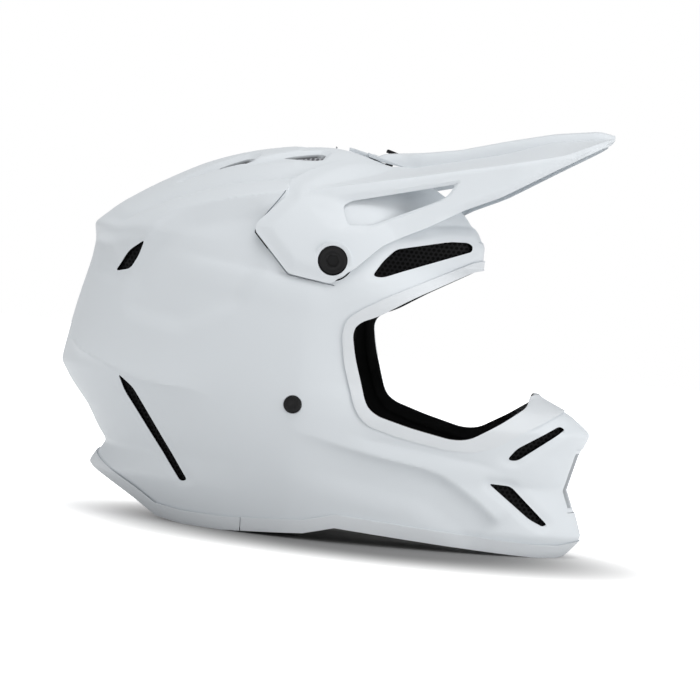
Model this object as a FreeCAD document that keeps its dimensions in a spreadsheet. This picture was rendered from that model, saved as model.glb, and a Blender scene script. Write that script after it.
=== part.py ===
"""Motocross helmet, in millimetres: shell, vents, trims, foam, liner, pads, straps and visor.

+X points forward, +Y to the rider's left and +Z up. The helmet stands on its base trim at z = 0,
and x = 0 is half way between the rear corner and the nose.
"""
import FreeCAD, Part
import Sketcher
import math
import os

from FreeCAD import Placement, Rotation, Vector

SIZES = (
    ("shell_length", 353.4, "rear corner to nose"),
    ("shell_width", 248.0, "across the widest part, at the ears"),
    ("shell_height", 250.7, "base trim to crown"),
    ("shell_wall", 3.5, "moulded shell"),
    ("fit_gap", 0.3, "between curved pieces that lie against each other"),
    ("trim_skin", 1.5, "rubber outside and inside the shell's edge"),
    ("trim_grip", 2.5, "how far the shell's edge stands back inside a trim"),
    ("base_trim_depth", 9.0, "outside leg of the base trim"),
    ("mesh_setback", 1.2, "vent mesh below the shell's surface"),
    ("mesh_skin", 1.6, "thickness of a vent mesh"),
    ("mouth_width", 34.0, "mouth vent, across"),
    ("mouth_bars", 2, "upright bars in the mouth vent"),
    ("mouth_bar_width", 3.0, "width of one bar and of the grille's frame"),
    ("head_length", 204.0, "inside the crown foam"),
    ("head_width", 172.0, "inside the crown foam"),
    ("head_top", 214.0, "height of the foam's inner top"),
    ("liner_skin", 8.0, "comfort liner"),
    ("strap_room", 8.0, "between shell and cheek foam, where the strap runs"),
    ("cheek_foam_skin", 13.0, "foam block behind each cheek pad"),
    ("face_width", 112.0, "between the cheek pads"),
    ("visor_skin", 2.2, "visor moulding"),
    ("visor_gap", 1.3, "least gap between visor and shell over the tilt"),
    ("visor_reach", 169.6, "visor tip, ahead of the origin"),
    ("visor_tip_width", 118.0, "across the visor near its tip"),
    ("tongue_width", 40.0, "middle strap of the visor on the crown"),
    ("screw_head_diameter", 18.4, "side screw of the visor"),
    ("screw_head_height", 3.4, "side screw of the visor"),
    ("screw_shank", 6.0, "side screw of the visor"),
    ("screw_fit", 0.05, "radial running clearance of the visor on its side screws"),
    ("washer_skin", 1.0, "rubber washer under the side screw's head"),
    ("boss_web", 2.0, "visor boss under the washer"),
    ("boss_rim", 2.6, "visor boss around the screw's head"),
    ("nut_size", 12.0, "across the flats of the visor nuts"),
    ("nut_height", 4.0, "visor nuts"),
    ("crown_screw_head", 10.0, "screw in the visor's tongue"),
    ("crown_screw_shank", 5.0, "screw in the visor's tongue"),
    ("slot_length", 15.0, "slot for that screw"),
    ("rivet_head", 11.2, "chin strap rivet"),
    ("rivet_head_height", 2.0, "chin strap rivet"),
    ("rivet_shank", 5.0, "chin strap rivet"),
    ("plate_width", 24.0, "steel plate on the strap's end"),
    ("plate_height", 28.0, "steel plate on the strap's end"),
    ("plate_skin", 1.5, "steel plate on the strap's end"),
    ("strap_width", 20.0, "chin strap webbing"),
    ("strap_skin", 2.0, "chin strap webbing"),
    ("ring_wire", 3.0, "D-ring wire"),
    ("ring_play", 1.2, "between a D-ring's side and the webbing"),
    ("snap_diameter", 12.0, "press stud on the strap"),
    ("snap_height", 2.4, "press stud on the strap"),
    ("stud_diameter", 9.0, "press studs that hold the cheek pads"),
)

doc = FreeCAD.newDocument("motocross_helmet")
sheet = doc.addObject("Spreadsheet::Sheet", "sizes")
for row, (alias, number, note) in enumerate(SIZES, start=1):
    sheet.set("A%d" % row, alias)
    sheet.set("B%d" % row, str(number))
    sheet.set("C%d" % row, note)
    sheet.setAlias("B%d" % row, alias)
doc.recompute()


def size(alias):
    return float(getattr(sheet, alias))


# ---------------------------------------------------------------- the shell's form
# Side outlines are drawn in millimetres on a helmet of this length and height, and stretched to
# the sizes in the sheet.
DRAWN_LENGTH = 353.4
DRAWN_HEIGHT = 250.7
STRETCH_X = size("shell_length") / DRAWN_LENGTH
STRETCH_Z = size("shell_height") / DRAWN_HEIGHT
WALL = size("shell_wall")
GAP = size("fit_gap")
HALF_WIDTH = size("shell_width") / 2
EAR_X = -12.0 * STRETCH_X
EAR_Z = 110.0 * STRETCH_Z
APEX_X = -11.0

# height, rear end and front end of the closed shell, before the openings are cut
OUTLINE = (
    (-8, -110, 156), (4, -120, 168), (14, -132, 176.7), (28, -151, 171.5), (44, -141.4, 164.6),
    (67, -156.5, 169.8), (82, -169.5, 175.4), (93, -176.7, 161), (103.5, -175.3, 136),
    (131, -170.7, 124), (161, -163.6, 104), (182, -163, 92), (194, -155.5, 93), (204, -141, 89),
    (214, -125.6, 81.5), (223, -110, 70.5), (231, -95.5, 57.5), (238, -78, 42), (243.5, -60, 27),
    (247.3, -42.5, 12), (249.5, -28, 1), (250.5, -18, -5),
)


def stretched(points):
    return [(x * STRETCH_X, z * STRETCH_Z) for x, z in points]


REAR = [(-x, z) for x, z in stretched([(row[1], row[0]) for row in OUTLINE])]
FRONT = stretched([(row[2], row[0]) for row in OUTLINE])
LEVELS = [z for x, z in FRONT]


def half_width(z):
    if z < EAR_Z:
        return HALF_WIDTH * (1 - 0.21 * ((EAR_Z - z) / EAR_Z) ** 2)
    share = min((z - EAR_Z) / (size("shell_height") + 0.3 - EAR_Z), 1.0)
    return HALF_WIDTH * (1 - share ** 2.7) ** (1 / 2.7)


SIDE = [(half_width(z), z) for z in LEVELS]


def at_height(curve, z):
    """Distance from the helmet's middle on a curve of (distance, height) points."""
    for (r0, z0), (r1, z1) in zip(curve, curve[1:]):
        if z <= z1:
            return r0 + (r1 - r0) * (z - z0) / (z1 - z0)
    return curve[-1][0]


def blend(low, high, value):
    share = min(max((value - low) / (high - low), 0.0), 1.0)
    return share * share * (3 - 2 * share)


def plan_share(share, z, ahead):
    """Width left at a share of the way from the ears to the rear or front end."""
    if not ahead:
        return (1 - share ** 2.3) ** (1 / 2.3)
    crown = blend(95 * STRETCH_Z, 180 * STRETCH_Z, z)
    taper = 0.7 * (1 - crown)
    outer = 10 * (1 - crown) + 2.3 * crown
    root = 2 * (1 - crown) + 2.3 * crown
    return (1 - taper * share ** 1.5) * (1 - share ** outer) ** (1 / root)


def outer_y(x, z):
    """Half width of the shell's outer surface at one place of its side view."""
    if not LEVELS[0] <= z <= LEVELS[-1]:
        return 0.0
    ahead = x >= EAR_X
    end = at_height(FRONT, z) if ahead else -at_height(REAR, z)
    share = (x - EAR_X) / (end - EAR_X)
    if share >= 1:
        return 0.0
    return at_height(SIDE, z) * plan_share(share, z, ahead)


def outer_z(x, y):
    """Height of the shell's outer surface above one place of the plan, from the ears up."""
    low, high = EAR_Z, LEVELS[-1]
    for halving in range(30):
        middle = (low + high) / 2
        if outer_y(x, middle) > abs(y):
            low = middle
        else:
            high = middle
    return low


def offset_curve(curve, depth):
    """The curve moved inward by a depth, square to itself."""
    normals = []
    for (r0, z0), (r1, z1) in zip(curve, curve[1:]):
        length = math.hypot(r1 - r0, z1 - z0)
        normals.append(((z1 - z0) / length, (r0 - r1) / length))
    before = [normals[0]] + normals
    after = normals + [(0.0, 1.0)]
    moved = []
    for (r, z), (ar, az), (br, bz) in zip(curve, before, after):
        mitre = depth / (1 + ar * br + az * bz)
        moved.append((r - (ar + br) * mitre, z - (az + bz) * mitre))
    return [p for p, q in zip(moved, moved[1:] + [(0, 1e9)]) if q[1] > p[1]]


def section_wire(z, rear, front, half):
    turns = [math.radians(a) for a in range(0, 91, 10)]
    spots = []
    for turn in turns:
        share = math.sin(turn)
        spots.append((EAR_X + share * (front - EAR_X), half * plan_share(min(share, 1), z, True)))
    back = []
    for turn in turns[1:]:
        share = math.sin(turn)
        back.append((EAR_X + share * (rear - EAR_X), half * plan_share(min(share, 1), z, False)))
    left = list(reversed(spots[:-1])) + back
    right = [(x, -y) for x, y in reversed(left[:-1])] + [spots[-1]]
    curve = Part.BSplineCurve()
    curve.interpolate([Vector(x, y, z) for x, y in left + right], PeriodicFlag=True)
    return Part.Wire(curve.toShape())


def shell_solid(depth):
    """The closed solid inside the shell's outer surface moved inward by a depth."""
    curves = [offset_curve(curve, depth) for curve in (REAR, FRONT, SIDE)]
    top = min(curve[-1][1] for curve in curves)
    levels = [z for z in LEVELS if z < top - 0.5] + [top]
    wires = []
    for z in levels:
        rear, front, half = (at_height(curve, z) for curve in curves)
        wires.append(section_wire(z, -rear, front, half))
    return Part.makeLoft(wires, True, True)


made_solids = {}


def inside(depth):
    if depth not in made_solids:
        made_solids[depth] = shell_solid(depth)
    return made_solids[depth]


def skin(outer_depth, inner_depth):
    return inside(outer_depth).cut(inside(inner_depth))


# ---------------------------------------------------------------- side outlines
EYEPORT = stretched((
    (250, 181.7), (91, 181.7), (54, 160), (34, 146.8), (25, 143), (20.4, 139), (19.3, 133.5),
    (22, 120), (31, 93), (34, 88), (40, 84), (61, 78.3), (88, 72.8), (99, 74), (118, 86),
    (133, 97.6), (133, 104.5), (250, 104.5),
))
TRIM_EDGE = stretched((
    (250, 188), (91, 188), (65, 174), (39, 160), (22, 149.5), (14.5, 143), (12.8, 133.5),
    (16, 115), (25, 89), (29, 82.5), (35, 77.3), (56, 71.2), (86, 65.8), (102, 65.6),
    (116, 69.9), (131, 80.3), (153.5, 93.8), (166, 101.5), (250, 101.5),
))
BASE_LINE = stretched((
    (-200, 40), (-151, 30), (-113, 11), (-98, 2), (-80, 0), (-52, 0), (0, 4), (20, 9.5),
    (97, 3.5), (146, 0), (162, 0), (176, 3), (200, 6),
))
CROWN_EDGE = stretched((
    (-200, 47), (-150, 44), (-113, 31), (-95, 24), (-31, 24), (-31, 84), (8, 124), (5, 146),
    (30, 163), (60, 179), (84, 194), (200, 210), (200, 300), (-200, 300),
))
CHEEK_EDGE = stretched((
    (-29, 22), (-29, 82), (3, 116), (8, 114), (18, 86), (24, 76), (34, 69), (56, 63), (84, 57.5),
    (98, 56), (98, 22),
))
CHIN_EDGE = stretched(((100, 20), (100, 57), (116, 62), (131, 72), (150, 84), (190, 84), (190, 20)))
BROW_VENT = stretched((
    (27.3, 172), (34, 171.6), (44, 176), (86.3, 193.4), (86, 197.3), (83, 199), (72, 198.5),
    (40, 190.3), (33, 182.2),
))
CHIN_VENT_UPPER = stretched((
    (123.7, 63), (130, 62.5), (154, 80.9), (158.5, 85), (154.7, 86.9), (129.4, 70.7),
))
CHIN_VENT_LOWER = stretched(((113.5, 46.8), (142, 25), (151, 20.8), (153.5, 22.5), (128, 45.8)))
REAR_SLOT = stretched(((-128.7, 92), (-118, 84.4), (-76.5, 29.5), (-81, 28), (-123.8, 81.6)))
REAR_VENT = stretched(((-122, 178), (-130, 171), (-139.3, 157), (-130.2, 160), (-125.6, 168.2)))
VISOR_SIDE = stretched((
    (-32.9, 230), (-32.9, 216.7), (-49.5, 197.3), (-49.9, 193), (-25.1, 168), (2.7, 164.3),
    (7.7, 169.4), (16, 175.2), (31.5, 191.6), (45, 199.4), (58, 206.2), (80, 219.7),
    (101.5, 230), (136, 252), (161, 267.6), (180, 280), (200, 320), (-32.9, 320),
))
VISOR_WINDOW = stretched((
    (3, 213.8), (8, 217.6), (30, 223.7), (72.6, 235.6), (68.3, 227.9), (63.3, 223.9),
    (23.2, 203.8), (8, 202.2),
))
CROWN_VENT_FRONT = ((-42, 57), (-18, 47), (-14, 50), (-16, 62), (-20, 64))
CROWN_VENT_REAR = ((-84, 52), (-64, 43), (-60, 46), (-62, 57), (-66, 59))
PIVOT_X, PIVOT_Z = stretched(((1.8, 179.1),))[0]
STRAP_X, STRAP_Z = stretched(((-13.2, 86.2),))[0]
TRIM_SPLIT_X = -40 * STRETCH_X
FAR = 200.0


def side_wire(points, y=0.0):
    corners = [Vector(x, y, z) for x, z in points]
    return Part.makePolygon(corners + corners[:1])


def through(points, grow=0.0, sides=(-1, 1)):
    """A side outline, grown by a distance and run out from the middle to one side or both."""
    wire = side_wire(points)
    if grow:
        wire = wire.makeOffset2D(grow, 2)
    if len(sides) == 2:
        return Part.Face(wire).translated(Vector(0, -FAR, 0)).extrude(Vector(0, 2 * FAR, 0))
    return Part.Face(wire).extrude(Vector(0, sides[0] * FAR, 0))


def from_above(points, side, grow=0.0):
    corners = [Vector(x * STRETCH_X, side * y, EAR_Z) for x, y in points]
    wire = Part.makePolygon(corners + corners[:1])
    if grow:
        wire = wire.makeOffset2D(grow, 2)
    return Part.Face(wire).extrude(Vector(0, 0, FAR))


def above_base(lift):
    points = [(x, z + lift) for x, z in BASE_LINE]
    return through(points + [(FAR * 1.2, 400), (-FAR * 1.2, 400)])


def block(x0, y0, z0, x1, y1, z1):
    return Part.makeBox(x1 - x0, y1 - y0, z1 - z0, Vector(x0, y0, z0))


def rod(x, z, radius, y0, y1):
    """A cylinder along Y between two distances from the middle, both of one sign."""
    outward = Vector(0, math.copysign(1, y1 - y0), 0)
    return Part.makeCylinder(radius, abs(y1 - y0), Vector(x, y0, z), outward)


PIECES = []


def feature(label, shape):
    piece = doc.addObject("Part::Feature", label)
    piece.Label = label
    solids = shape.Solids
    piece.Shape = solids[0] if len(solids) == 1 else Part.makeCompound(solids)
    PIECES.append(piece)
    return piece


SIDES = (("right", -1), ("left", 1))

# ---------------------------------------------------------------- shell
PIVOT_Y = outer_y(PIVOT_X, PIVOT_Z)
HEAD_R = size("screw_head_diameter") / 2
BOSS_R = HEAD_R + GAP + size("boss_rim")
WASHER_FACE = PIVOT_Y - 1.7
POCKET_FACE = WASHER_FACE - size("boss_web") - GAP
POCKET_R = BOSS_R + 1.0
SHELL_BOSS_R = POCKET_R + WALL
SHELL_BOSS_FACE = POCKET_FACE - WALL
NUT_TIP = SHELL_BOSS_FACE - GAP - size("nut_height")
STRAP_Y = outer_y(STRAP_X, STRAP_Z)
RIVET_FACE = STRAP_Y - 0.7
PLATE_CORNERS = [(STRAP_X + dx * size("plate_width") / 2, STRAP_Z + dz * size("plate_height") / 2)
                 for dx in (-1, 1) for dz in (-1, 1)]
PLATE_Y = min(outer_y(x, z) for x, z in PLATE_CORNERS) - WALL - 2 * GAP
MOUTH_HALF = size("mouth_width") / 2
MOUTH_LOW, MOUTH_HIGH = 30 * STRETCH_Z, 72 * STRETCH_Z

# the crown screw stands square to the shell where the visor's tongue crosses it
CROWN_X = 24 * STRETCH_X
CROWN_Z = outer_z(CROWN_X, 0)
CROWN_TILT = math.atan2(outer_z(CROWN_X - 6, 0) - outer_z(CROWN_X + 6, 0), 12)
CROWN_AXIS = Vector(math.sin(CROWN_TILT), 0, math.cos(CROWN_TILT))
CROWN_FOOT = Vector(CROWN_X, 0, CROWN_Z)


def crown_rod(radius, low, high):
    return Part.makeCylinder(radius, high - low, CROWN_FOOT + CROWN_AXIS * low, CROWN_AXIS)


def mouth_block(grow):
    half = MOUTH_HALF + grow
    return block(110, -half, MOUTH_LOW - grow, 2 * FAR, half, MOUTH_HIGH + grow)


VENTS = (
    ("brow_vent", BROW_VENT), ("chin_vent_upper", CHIN_VENT_UPPER), ("chin_vent_lower", CHIN_VENT_LOWER),
    ("rear_slot", REAR_SLOT), ("rear_vent", REAR_VENT),
)
CROWN_VENTS = (("crown_vents_front", CROWN_VENT_FRONT), ("crown_vents_rear", CROWN_VENT_REAR))


def make_shell():
    shell = skin(0, WALL).common(above_base(size("trim_grip")))
    shell = shell.cut(through(EYEPORT, size("trim_grip")))
    for name, outline in VENTS:
        shell = shell.cut(through(outline))
    for name, outline in CROWN_VENTS:
        for label, side in SIDES:
            shell = shell.cut(from_above(outline, side))
    shell = shell.cut(mouth_block(0))
    for label, side in SIDES:
        boss = rod(PIVOT_X, PIVOT_Z, SHELL_BOSS_R, side * SHELL_BOSS_FACE, side * FAR)
        shell = shell.fuse(boss.common(inside(0)))
        shell = shell.cut(rod(PIVOT_X, PIVOT_Z, POCKET_R, side * POCKET_FACE, side * FAR))
        screw_hole = size("screw_shank") / 2 + size("screw_fit")
        shell = shell.cut(rod(PIVOT_X, PIVOT_Z, screw_hole, side * 60, side * FAR))
        rivet_hole = size("rivet_shank") / 2 + size("screw_fit")
        shell = shell.cut(rod(STRAP_X, STRAP_Z, rivet_hole, side * 60, side * FAR))
        rivet_seat = size("rivet_head") / 2 + GAP
        shell = shell.cut(rod(STRAP_X, STRAP_Z, rivet_seat, side * RIVET_FACE, side * FAR))
    return shell.cut(crown_rod(size("crown_screw_shank") / 2 + size("screw_fit"), -30, 30))


feature("outer_shell", make_shell())

# ---------------------------------------------------------------- trims
TRIM_OUT = -size("trim_skin")
TRIM_IN = WALL + size("trim_skin")


def make_eyeport_trim():
    band = skin(TRIM_OUT, TRIM_IN).common(through(TRIM_EDGE)).cut(through(EYEPORT))
    groove = skin(-GAP, WALL + GAP).cut(through(EYEPORT, size("trim_grip") - GAP))
    return band.cut(groove)


def make_base_trim():
    band = skin(TRIM_OUT, TRIM_IN).common(above_base(0)).cut(above_base(size("base_trim_depth")))
    groove = skin(-GAP, WALL + GAP).common(above_base(size("trim_grip") - GAP))
    return band.cut(groove)


feature("eyeport_trim", make_eyeport_trim())
base_trim = make_base_trim()
feature("base_trim_rear", base_trim.common(block(-2 * FAR, -FAR, -50, TRIM_SPLIT_X - GAP, FAR, 90)))
feature("base_trim_front", base_trim.common(block(TRIM_SPLIT_X + GAP, -FAR, -50, 2 * FAR, FAR, 90)))

# ---------------------------------------------------------------- vents
mesh_skin = skin(size("mesh_setback"), size("mesh_setback") + size("mesh_skin"))
for name, outline in VENTS:
    for label, side in SIDES:
        feature("%s_%s" % (name, label), mesh_skin.common(through(outline, -GAP, (side,))))
for name, outline in CROWN_VENTS:
    pair = [mesh_skin.common(from_above(outline, side, -GAP)) for label, side in SIDES]
    feature(name, pair[0].fuse(pair[1]))


def make_mouth_grille():
    grille = skin(size("mesh_setback") / 2, WALL).common(mouth_block(-GAP))
    bar = size("mouth_bar_width")
    bars = int(size("mouth_bars"))
    inner = 2 * (MOUTH_HALF - GAP - bar)
    hole = (inner - bars * bar) / (bars + 1)
    for step in range(bars + 1):
        y = -inner / 2 + step * (hole + bar)
        grille = grille.cut(block(100, y, MOUTH_LOW + bar, 2 * FAR, y + hole, MOUTH_HIGH - bar))
    return grille


feature("mouth_grille", make_mouth_grille())
mesh_front = WALL + GAP
mouth_mesh = skin(mesh_front, mesh_front + size("mesh_skin") / 2).common(mouth_block(2.5))
feature("mouth_mesh", mouth_mesh)

# ---------------------------------------------------------------- foam and liner
HEAD_X = -31.0 * STRETCH_X
HEAD_BROW_Z = 120.0 * STRETCH_Z


def head_solid(grow):
    """The space inside the crown foam, grown by a distance."""
    half_length = size("head_length") / 2 + grow
    half = size("head_width") / 2 + grow
    top = size("head_top") + grow
    wires = []
    for share in (-1.0, -0.6, -0.2, 0.15, 0.35, 0.5, 0.65, 0.78, 0.88, 0.95, 0.99):
        z = HEAD_BROW_Z + share * ((top - HEAD_BROW_Z) if share > 0 else HEAD_BROW_Z + 12)
        round_off = (1 - share ** 2.4) ** (1 / 2.4) if share > 0 else 1 - 0.13 * share * share
        spots = []
        for degrees in range(0, 360, 15):
            turn = math.radians(degrees)
            ahead = math.copysign(abs(math.cos(turn)) ** 0.87, math.cos(turn))
            aside = math.copysign(abs(math.sin(turn)) ** 0.87, math.sin(turn))
            x = HEAD_X + half_length * round_off * ahead
            spots.append(Vector(x, half * round_off * aside, z))
        curve = Part.BSplineCurve()
        curve.interpolate(spots, PeriodicFlag=True)
        wires.append(Part.Wire(curve.toShape()))
    return Part.makeLoft(wires, True, True)


VENT_CHANNEL = 1.0


def vent_channels(foam, names):
    for name, outline in VENTS:
        if name in names:
            foam = foam.cut(through(outline, VENT_CHANNEL))
    return foam


def make_crown_foam():
    foam = inside(WALL + GAP).cut(head_solid(0)).common(through(CROWN_EDGE))
    foam = vent_channels(foam, ("brow_vent", "rear_slot", "rear_vent"))
    for name, outline in CROWN_VENTS:
        for label, side in SIDES:
            foam = foam.cut(from_above(outline, side, VENT_CHANNEL))
    for label, side in SIDES:
        deep = NUT_TIP - 3
        foam = foam.cut(rod(PIVOT_X, PIVOT_Z, SHELL_BOSS_R + GAP, side * deep, side * FAR))
    foam = foam.cut(crown_rod(size("nut_size") / 2 + 2, -WALL - size("nut_height") - 4, 0))
    strap = size("strap_width") / 2 + 3
    for label, side in SIDES:
        y0, y1 = sorted((side * (STRAP_Y - WALL - size("strap_room")), side * FAR))
        foam = foam.cut(block(STRAP_X - strap, y0, 0, STRAP_X + strap, y1, STRAP_Z + 20))
    return foam


feature("crown_foam", make_crown_foam())
crown_liner = head_solid(-GAP).cut(head_solid(-size("liner_skin")))
feature("crown_liner", crown_liner.common(through(CROWN_EDGE)))

# room for the mouth, seen from above
MOUTH_ROOM = ((60, 72), (100, 58), (128, 40), (143, 22), (146, 0))


def plan_prism(points, low, high):
    corners = [Vector(x * STRETCH_X, y, low) for x, y in points]
    corners += [Vector(x * STRETCH_X, -y, low) for x, y in reversed(points[:-1])]
    return Part.Face(Part.makePolygon(corners + corners[:1])).extrude(Vector(0, 0, high - low))


def make_chin_foam():
    foam = inside(mesh_front + size("mesh_skin")).common(through(CHIN_EDGE))
    foam = foam.cut(plan_prism(MOUTH_ROOM, -50, 300))
    foam = foam.cut(mouth_block(VENT_CHANNEL))
    return vent_channels(foam, ("chin_vent_upper", "chin_vent_lower"))


feature("chin_foam", make_chin_foam())

CHEEK_BACK = WALL + size("strap_room")
PAD_BACK = CHEEK_BACK + size("cheek_foam_skin")
FACE_HALF = size("face_width") / 2
FACE_ROOM = ((-80, FACE_HALF + 14), (-10, FACE_HALF), (58, FACE_HALF), (120, FACE_HALF - 24), (120, 0))


def one_side(solid, side):
    y0, y1 = sorted((side * 1.0, side * FAR))
    return solid.common(block(-2 * FAR, y0, -50, 2 * FAR, y1, 400))


cheek_foam = skin(CHEEK_BACK, PAD_BACK).common(through(CHEEK_EDGE))
STRAP_NOTCH = size("strap_width") / 2 + 2.0
STRAP_BACK = PLATE_Y - size("plate_skin") - size("strap_skin")
RIVET_TAIL = 1.0
for label, side in SIDES:
    notch_y = sorted((side * (STRAP_BACK - RIVET_TAIL - GAP), side * FAR))
    notch = block(STRAP_X - STRAP_NOTCH, notch_y[0], 0, STRAP_X + STRAP_NOTCH, notch_y[1], STRAP_Z + 16)
    cheek_foam = cheek_foam.cut(notch)
cheek_pad = inside(PAD_BACK + GAP).common(through(CHEEK_EDGE)).cut(plan_prism(FACE_ROOM, -50, 300))
for label, side in SIDES:
    feature("cheek_foam_" + label, one_side(cheek_foam, side))
    feature("cheek_pad_" + label, one_side(cheek_pad, side))

STUDS = stretched(((24, 40), (12, 88), (72, 40)))
for label, side in SIDES:
    studs = []
    for x, z in STUDS:
        radius = size("stud_diameter") / 2
        root = rod(x, z, radius, side * 30, side * FAR)
        studs.append(root.common(skin(WALL + 0.02, CHEEK_BACK - 0.02)))
    feature("cheek_snaps_" + label, Part.makeCompound([s for stud in studs for s in stud.Solids]))


def make_neck_roll():
    low = above_base(size("base_trim_depth") + 0.6)
    roll = inside(TRIM_IN + GAP).cut(head_solid(-14)).common(low)
    roll = roll.cut(through([(x, z - GAP) for x, z in CROWN_EDGE]))
    return roll.common(block(-2 * FAR, -FAR, -50, -33 * STRETCH_X, FAR, 200))


feature("neck_roll", make_neck_roll())

# ---------------------------------------------------------------- visor
VISOR_DOWN, VISOR_UP = -2.0, 3.0
VISOR_SKIN = size("visor_skin")
SPINE_LEAN = 3.0
REACH = size("visor_reach")


def along(points, x):
    for (x0, v0), (x1, v1) in zip(points, points[1:]):
        if x <= x1:
            return v0 + (v1 - v0) * max(x - x0, 0) / (x1 - x0)
    return points[-1][1]


DRAWN_REACH = 169.6


def reach_points(points):
    """Points along the visor, stretched from the drawn reach to the real one."""
    share = REACH / DRAWN_REACH
    return [(x * share, v) for x, v in points]


TIP = size("visor_tip_width") / 2
CREST_Z = reach_points([
    (-52, 211), (-33, 216.7), (0, 225), (50, 236.5), (111, 252.5), (140, 260.5), (169.6, 275),
])
CREST_Y = reach_points([
    (-52, 102), (-33, 99), (0, 94), (50, 86), (111, 78), (150, TIP + 5), (169.6, TIP - 9),
])
LOW_Z = reach_points([
    (-52, 186), (-25, 166), (8, 164), (16, 174), (45, 198), (80, 218.5), (136, 250.8), (169.6, 272),
])
LOW_Y = reach_points([
    (-52, 112), (-25, 121), (8, 122), (45, 102), (80, 90), (136, TIP + 13), (169.6, TIP - 6),
])
ROOF_Z = reach_points([
    (-52, 243), (0, 250), (38, 245), (44, 244.2), (100, 259), (131, 270.5), (169.6, 276.5),
])
SPINE_Z = reach_points([
    (-52, 243.5), (36, 243), (46, 254), (70, 258.5), (100, 267.5), (131, 275.8), (160, 280.6),
    (169.6, 278.6),
])
SPINE_Y = reach_points([(-52, 26), (40, 26), (100, 20), (131, 15), (169.6, 11)])
STATIONS = (-52, -33, -16, 0, 14, 26, 36, 46, 62, 80, 100, 120, 140, 157, 169.6)


def turned(x, z, degrees):
    turn = math.radians(degrees)
    dx, dz = x - PIVOT_X, z - PIVOT_Z
    across, up = math.cos(turn), math.sin(turn)
    return PIVOT_X + dx * across - dz * up, PIVOT_Z + dx * up + dz * across


def clear_y(x, z):
    """Half width that stays outside the shell at every tilt of the visor."""
    return max(outer_y(*turned(x, z, tilt)) for tilt in (VISOR_DOWN, 0.0, VISOR_UP))


def clear_z(x, y):
    heights = []
    for tilt in (VISOR_DOWN, 0.0, VISOR_UP):
        shift = math.radians(tilt) * (outer_z(x, y) - PIVOT_Z)
        at_x, drop = x - shift, math.radians(tilt) * (x - PIVOT_X)
        heights.append(outer_z(at_x, y) - drop)
    return max(heights)


ROOF_SHARES = (0.2, 0.4, 0.6, 0.8, 1.0)
SIDE_SHARES = (0.15, 0.3, 0.45, 0.6, 0.8, 1.0)


def visor_inner(x):
    """Half of the visor's inner outline across the helmet at x, from the middle to its lower edge."""
    lift = size("visor_gap")
    roof_z = along(ROOF_Z, x) * STRETCH_Z - VISOR_SKIN
    spine_z = along(SPINE_Z, x) * STRETCH_Z - VISOR_SKIN
    crest_y, crest_z = along(CREST_Y, x) - VISOR_SKIN, along(CREST_Z, x) * STRETCH_Z - VISOR_SKIN / 2
    low_y, low_z = along(LOW_Y, x) - VISOR_SKIN, along(LOW_Z, x) * STRETCH_Z
    spine_y = along(SPINE_Y, x)
    foot_y = spine_y + SPINE_LEAN
    roof = [(0, spine_z), (spine_y, spine_z - 0.8)]
    roof += [(foot_y + (crest_y - foot_y) * share, roof_z + (crest_z - roof_z) * share)
             for share in (0.0,) + ROOF_SHARES]
    points = [(y, max(z, clear_z(x, y) + lift)) for y, z in roof]
    crest_y, crest_z = points[-1]
    for share in SIDE_SHARES:
        z = crest_z + (low_z - crest_z) * share
        y = crest_y + (low_y - crest_y) * share
        points.append((max(y, clear_y(x, z) + lift), z))
    return points


def thickened(points, thickness):
    """A half outline moved outward by a thickness, square to itself."""
    steps = [(y1 - y0, z1 - z0) for (y0, z0), (y1, z1) in zip(points, points[1:])]
    normals = [(-dz / math.hypot(dy, dz), dy / math.hypot(dy, dz)) for dy, dz in steps]
    before = [(0.0, 1.0)] + normals
    after = normals + [normals[-1]]
    moved = []
    for (y, z), (ay, az), (by, bz) in zip(points, before, after):
        mitre = thickness / max(1 + ay * by + az * bz, 0.7)
        moved.append((y + (ay + by) * mitre, z + (az + bz) * mitre))
    moved[0] = (0.0, moved[0][1])
    return moved


def visor_blank():
    wires = []
    for station in STATIONS:
        x = station * REACH / DRAWN_REACH
        inner = visor_inner(x)
        outer = thickened(inner, VISOR_SKIN)
        loop = outer + list(reversed(inner))
        loop += [(-y, z) for y, z in inner[1:]] + [(-y, z) for y, z in reversed(outer[1:])]
        corners = [Vector(x, y, z) for y, z in loop]
        wires.append(Part.makePolygon(corners + corners[:1]))
    return Part.makeLoft(wires, True, True)


TONGUE_TOP = (visor_inner(CROWN_X)[0][1] - CROWN_Z) * math.cos(CROWN_TILT) + VISOR_SKIN


def crown_slot():
    """The slot along the tongue that lets the visor tilt past its crown screw."""
    radius = size("crown_screw_shank") / 2 + GAP
    run = Vector(CROWN_AXIS.z, 0, -CROWN_AXIS.x) * (size("slot_length") / 2 - radius)
    ends = [crown_rod(radius, -20, 20).translated(step) for step in (run, run * -1)]
    bar = Part.makeBox(2 * run.Length, 2 * radius, 40, Vector(-run.Length, -radius, -20))
    bar.Placement = Placement(CROWN_FOOT, Rotation(Vector(0, 1, 0), math.degrees(CROWN_TILT)))
    return bar.fuse(ends[0]).fuse(ends[1])


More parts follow.
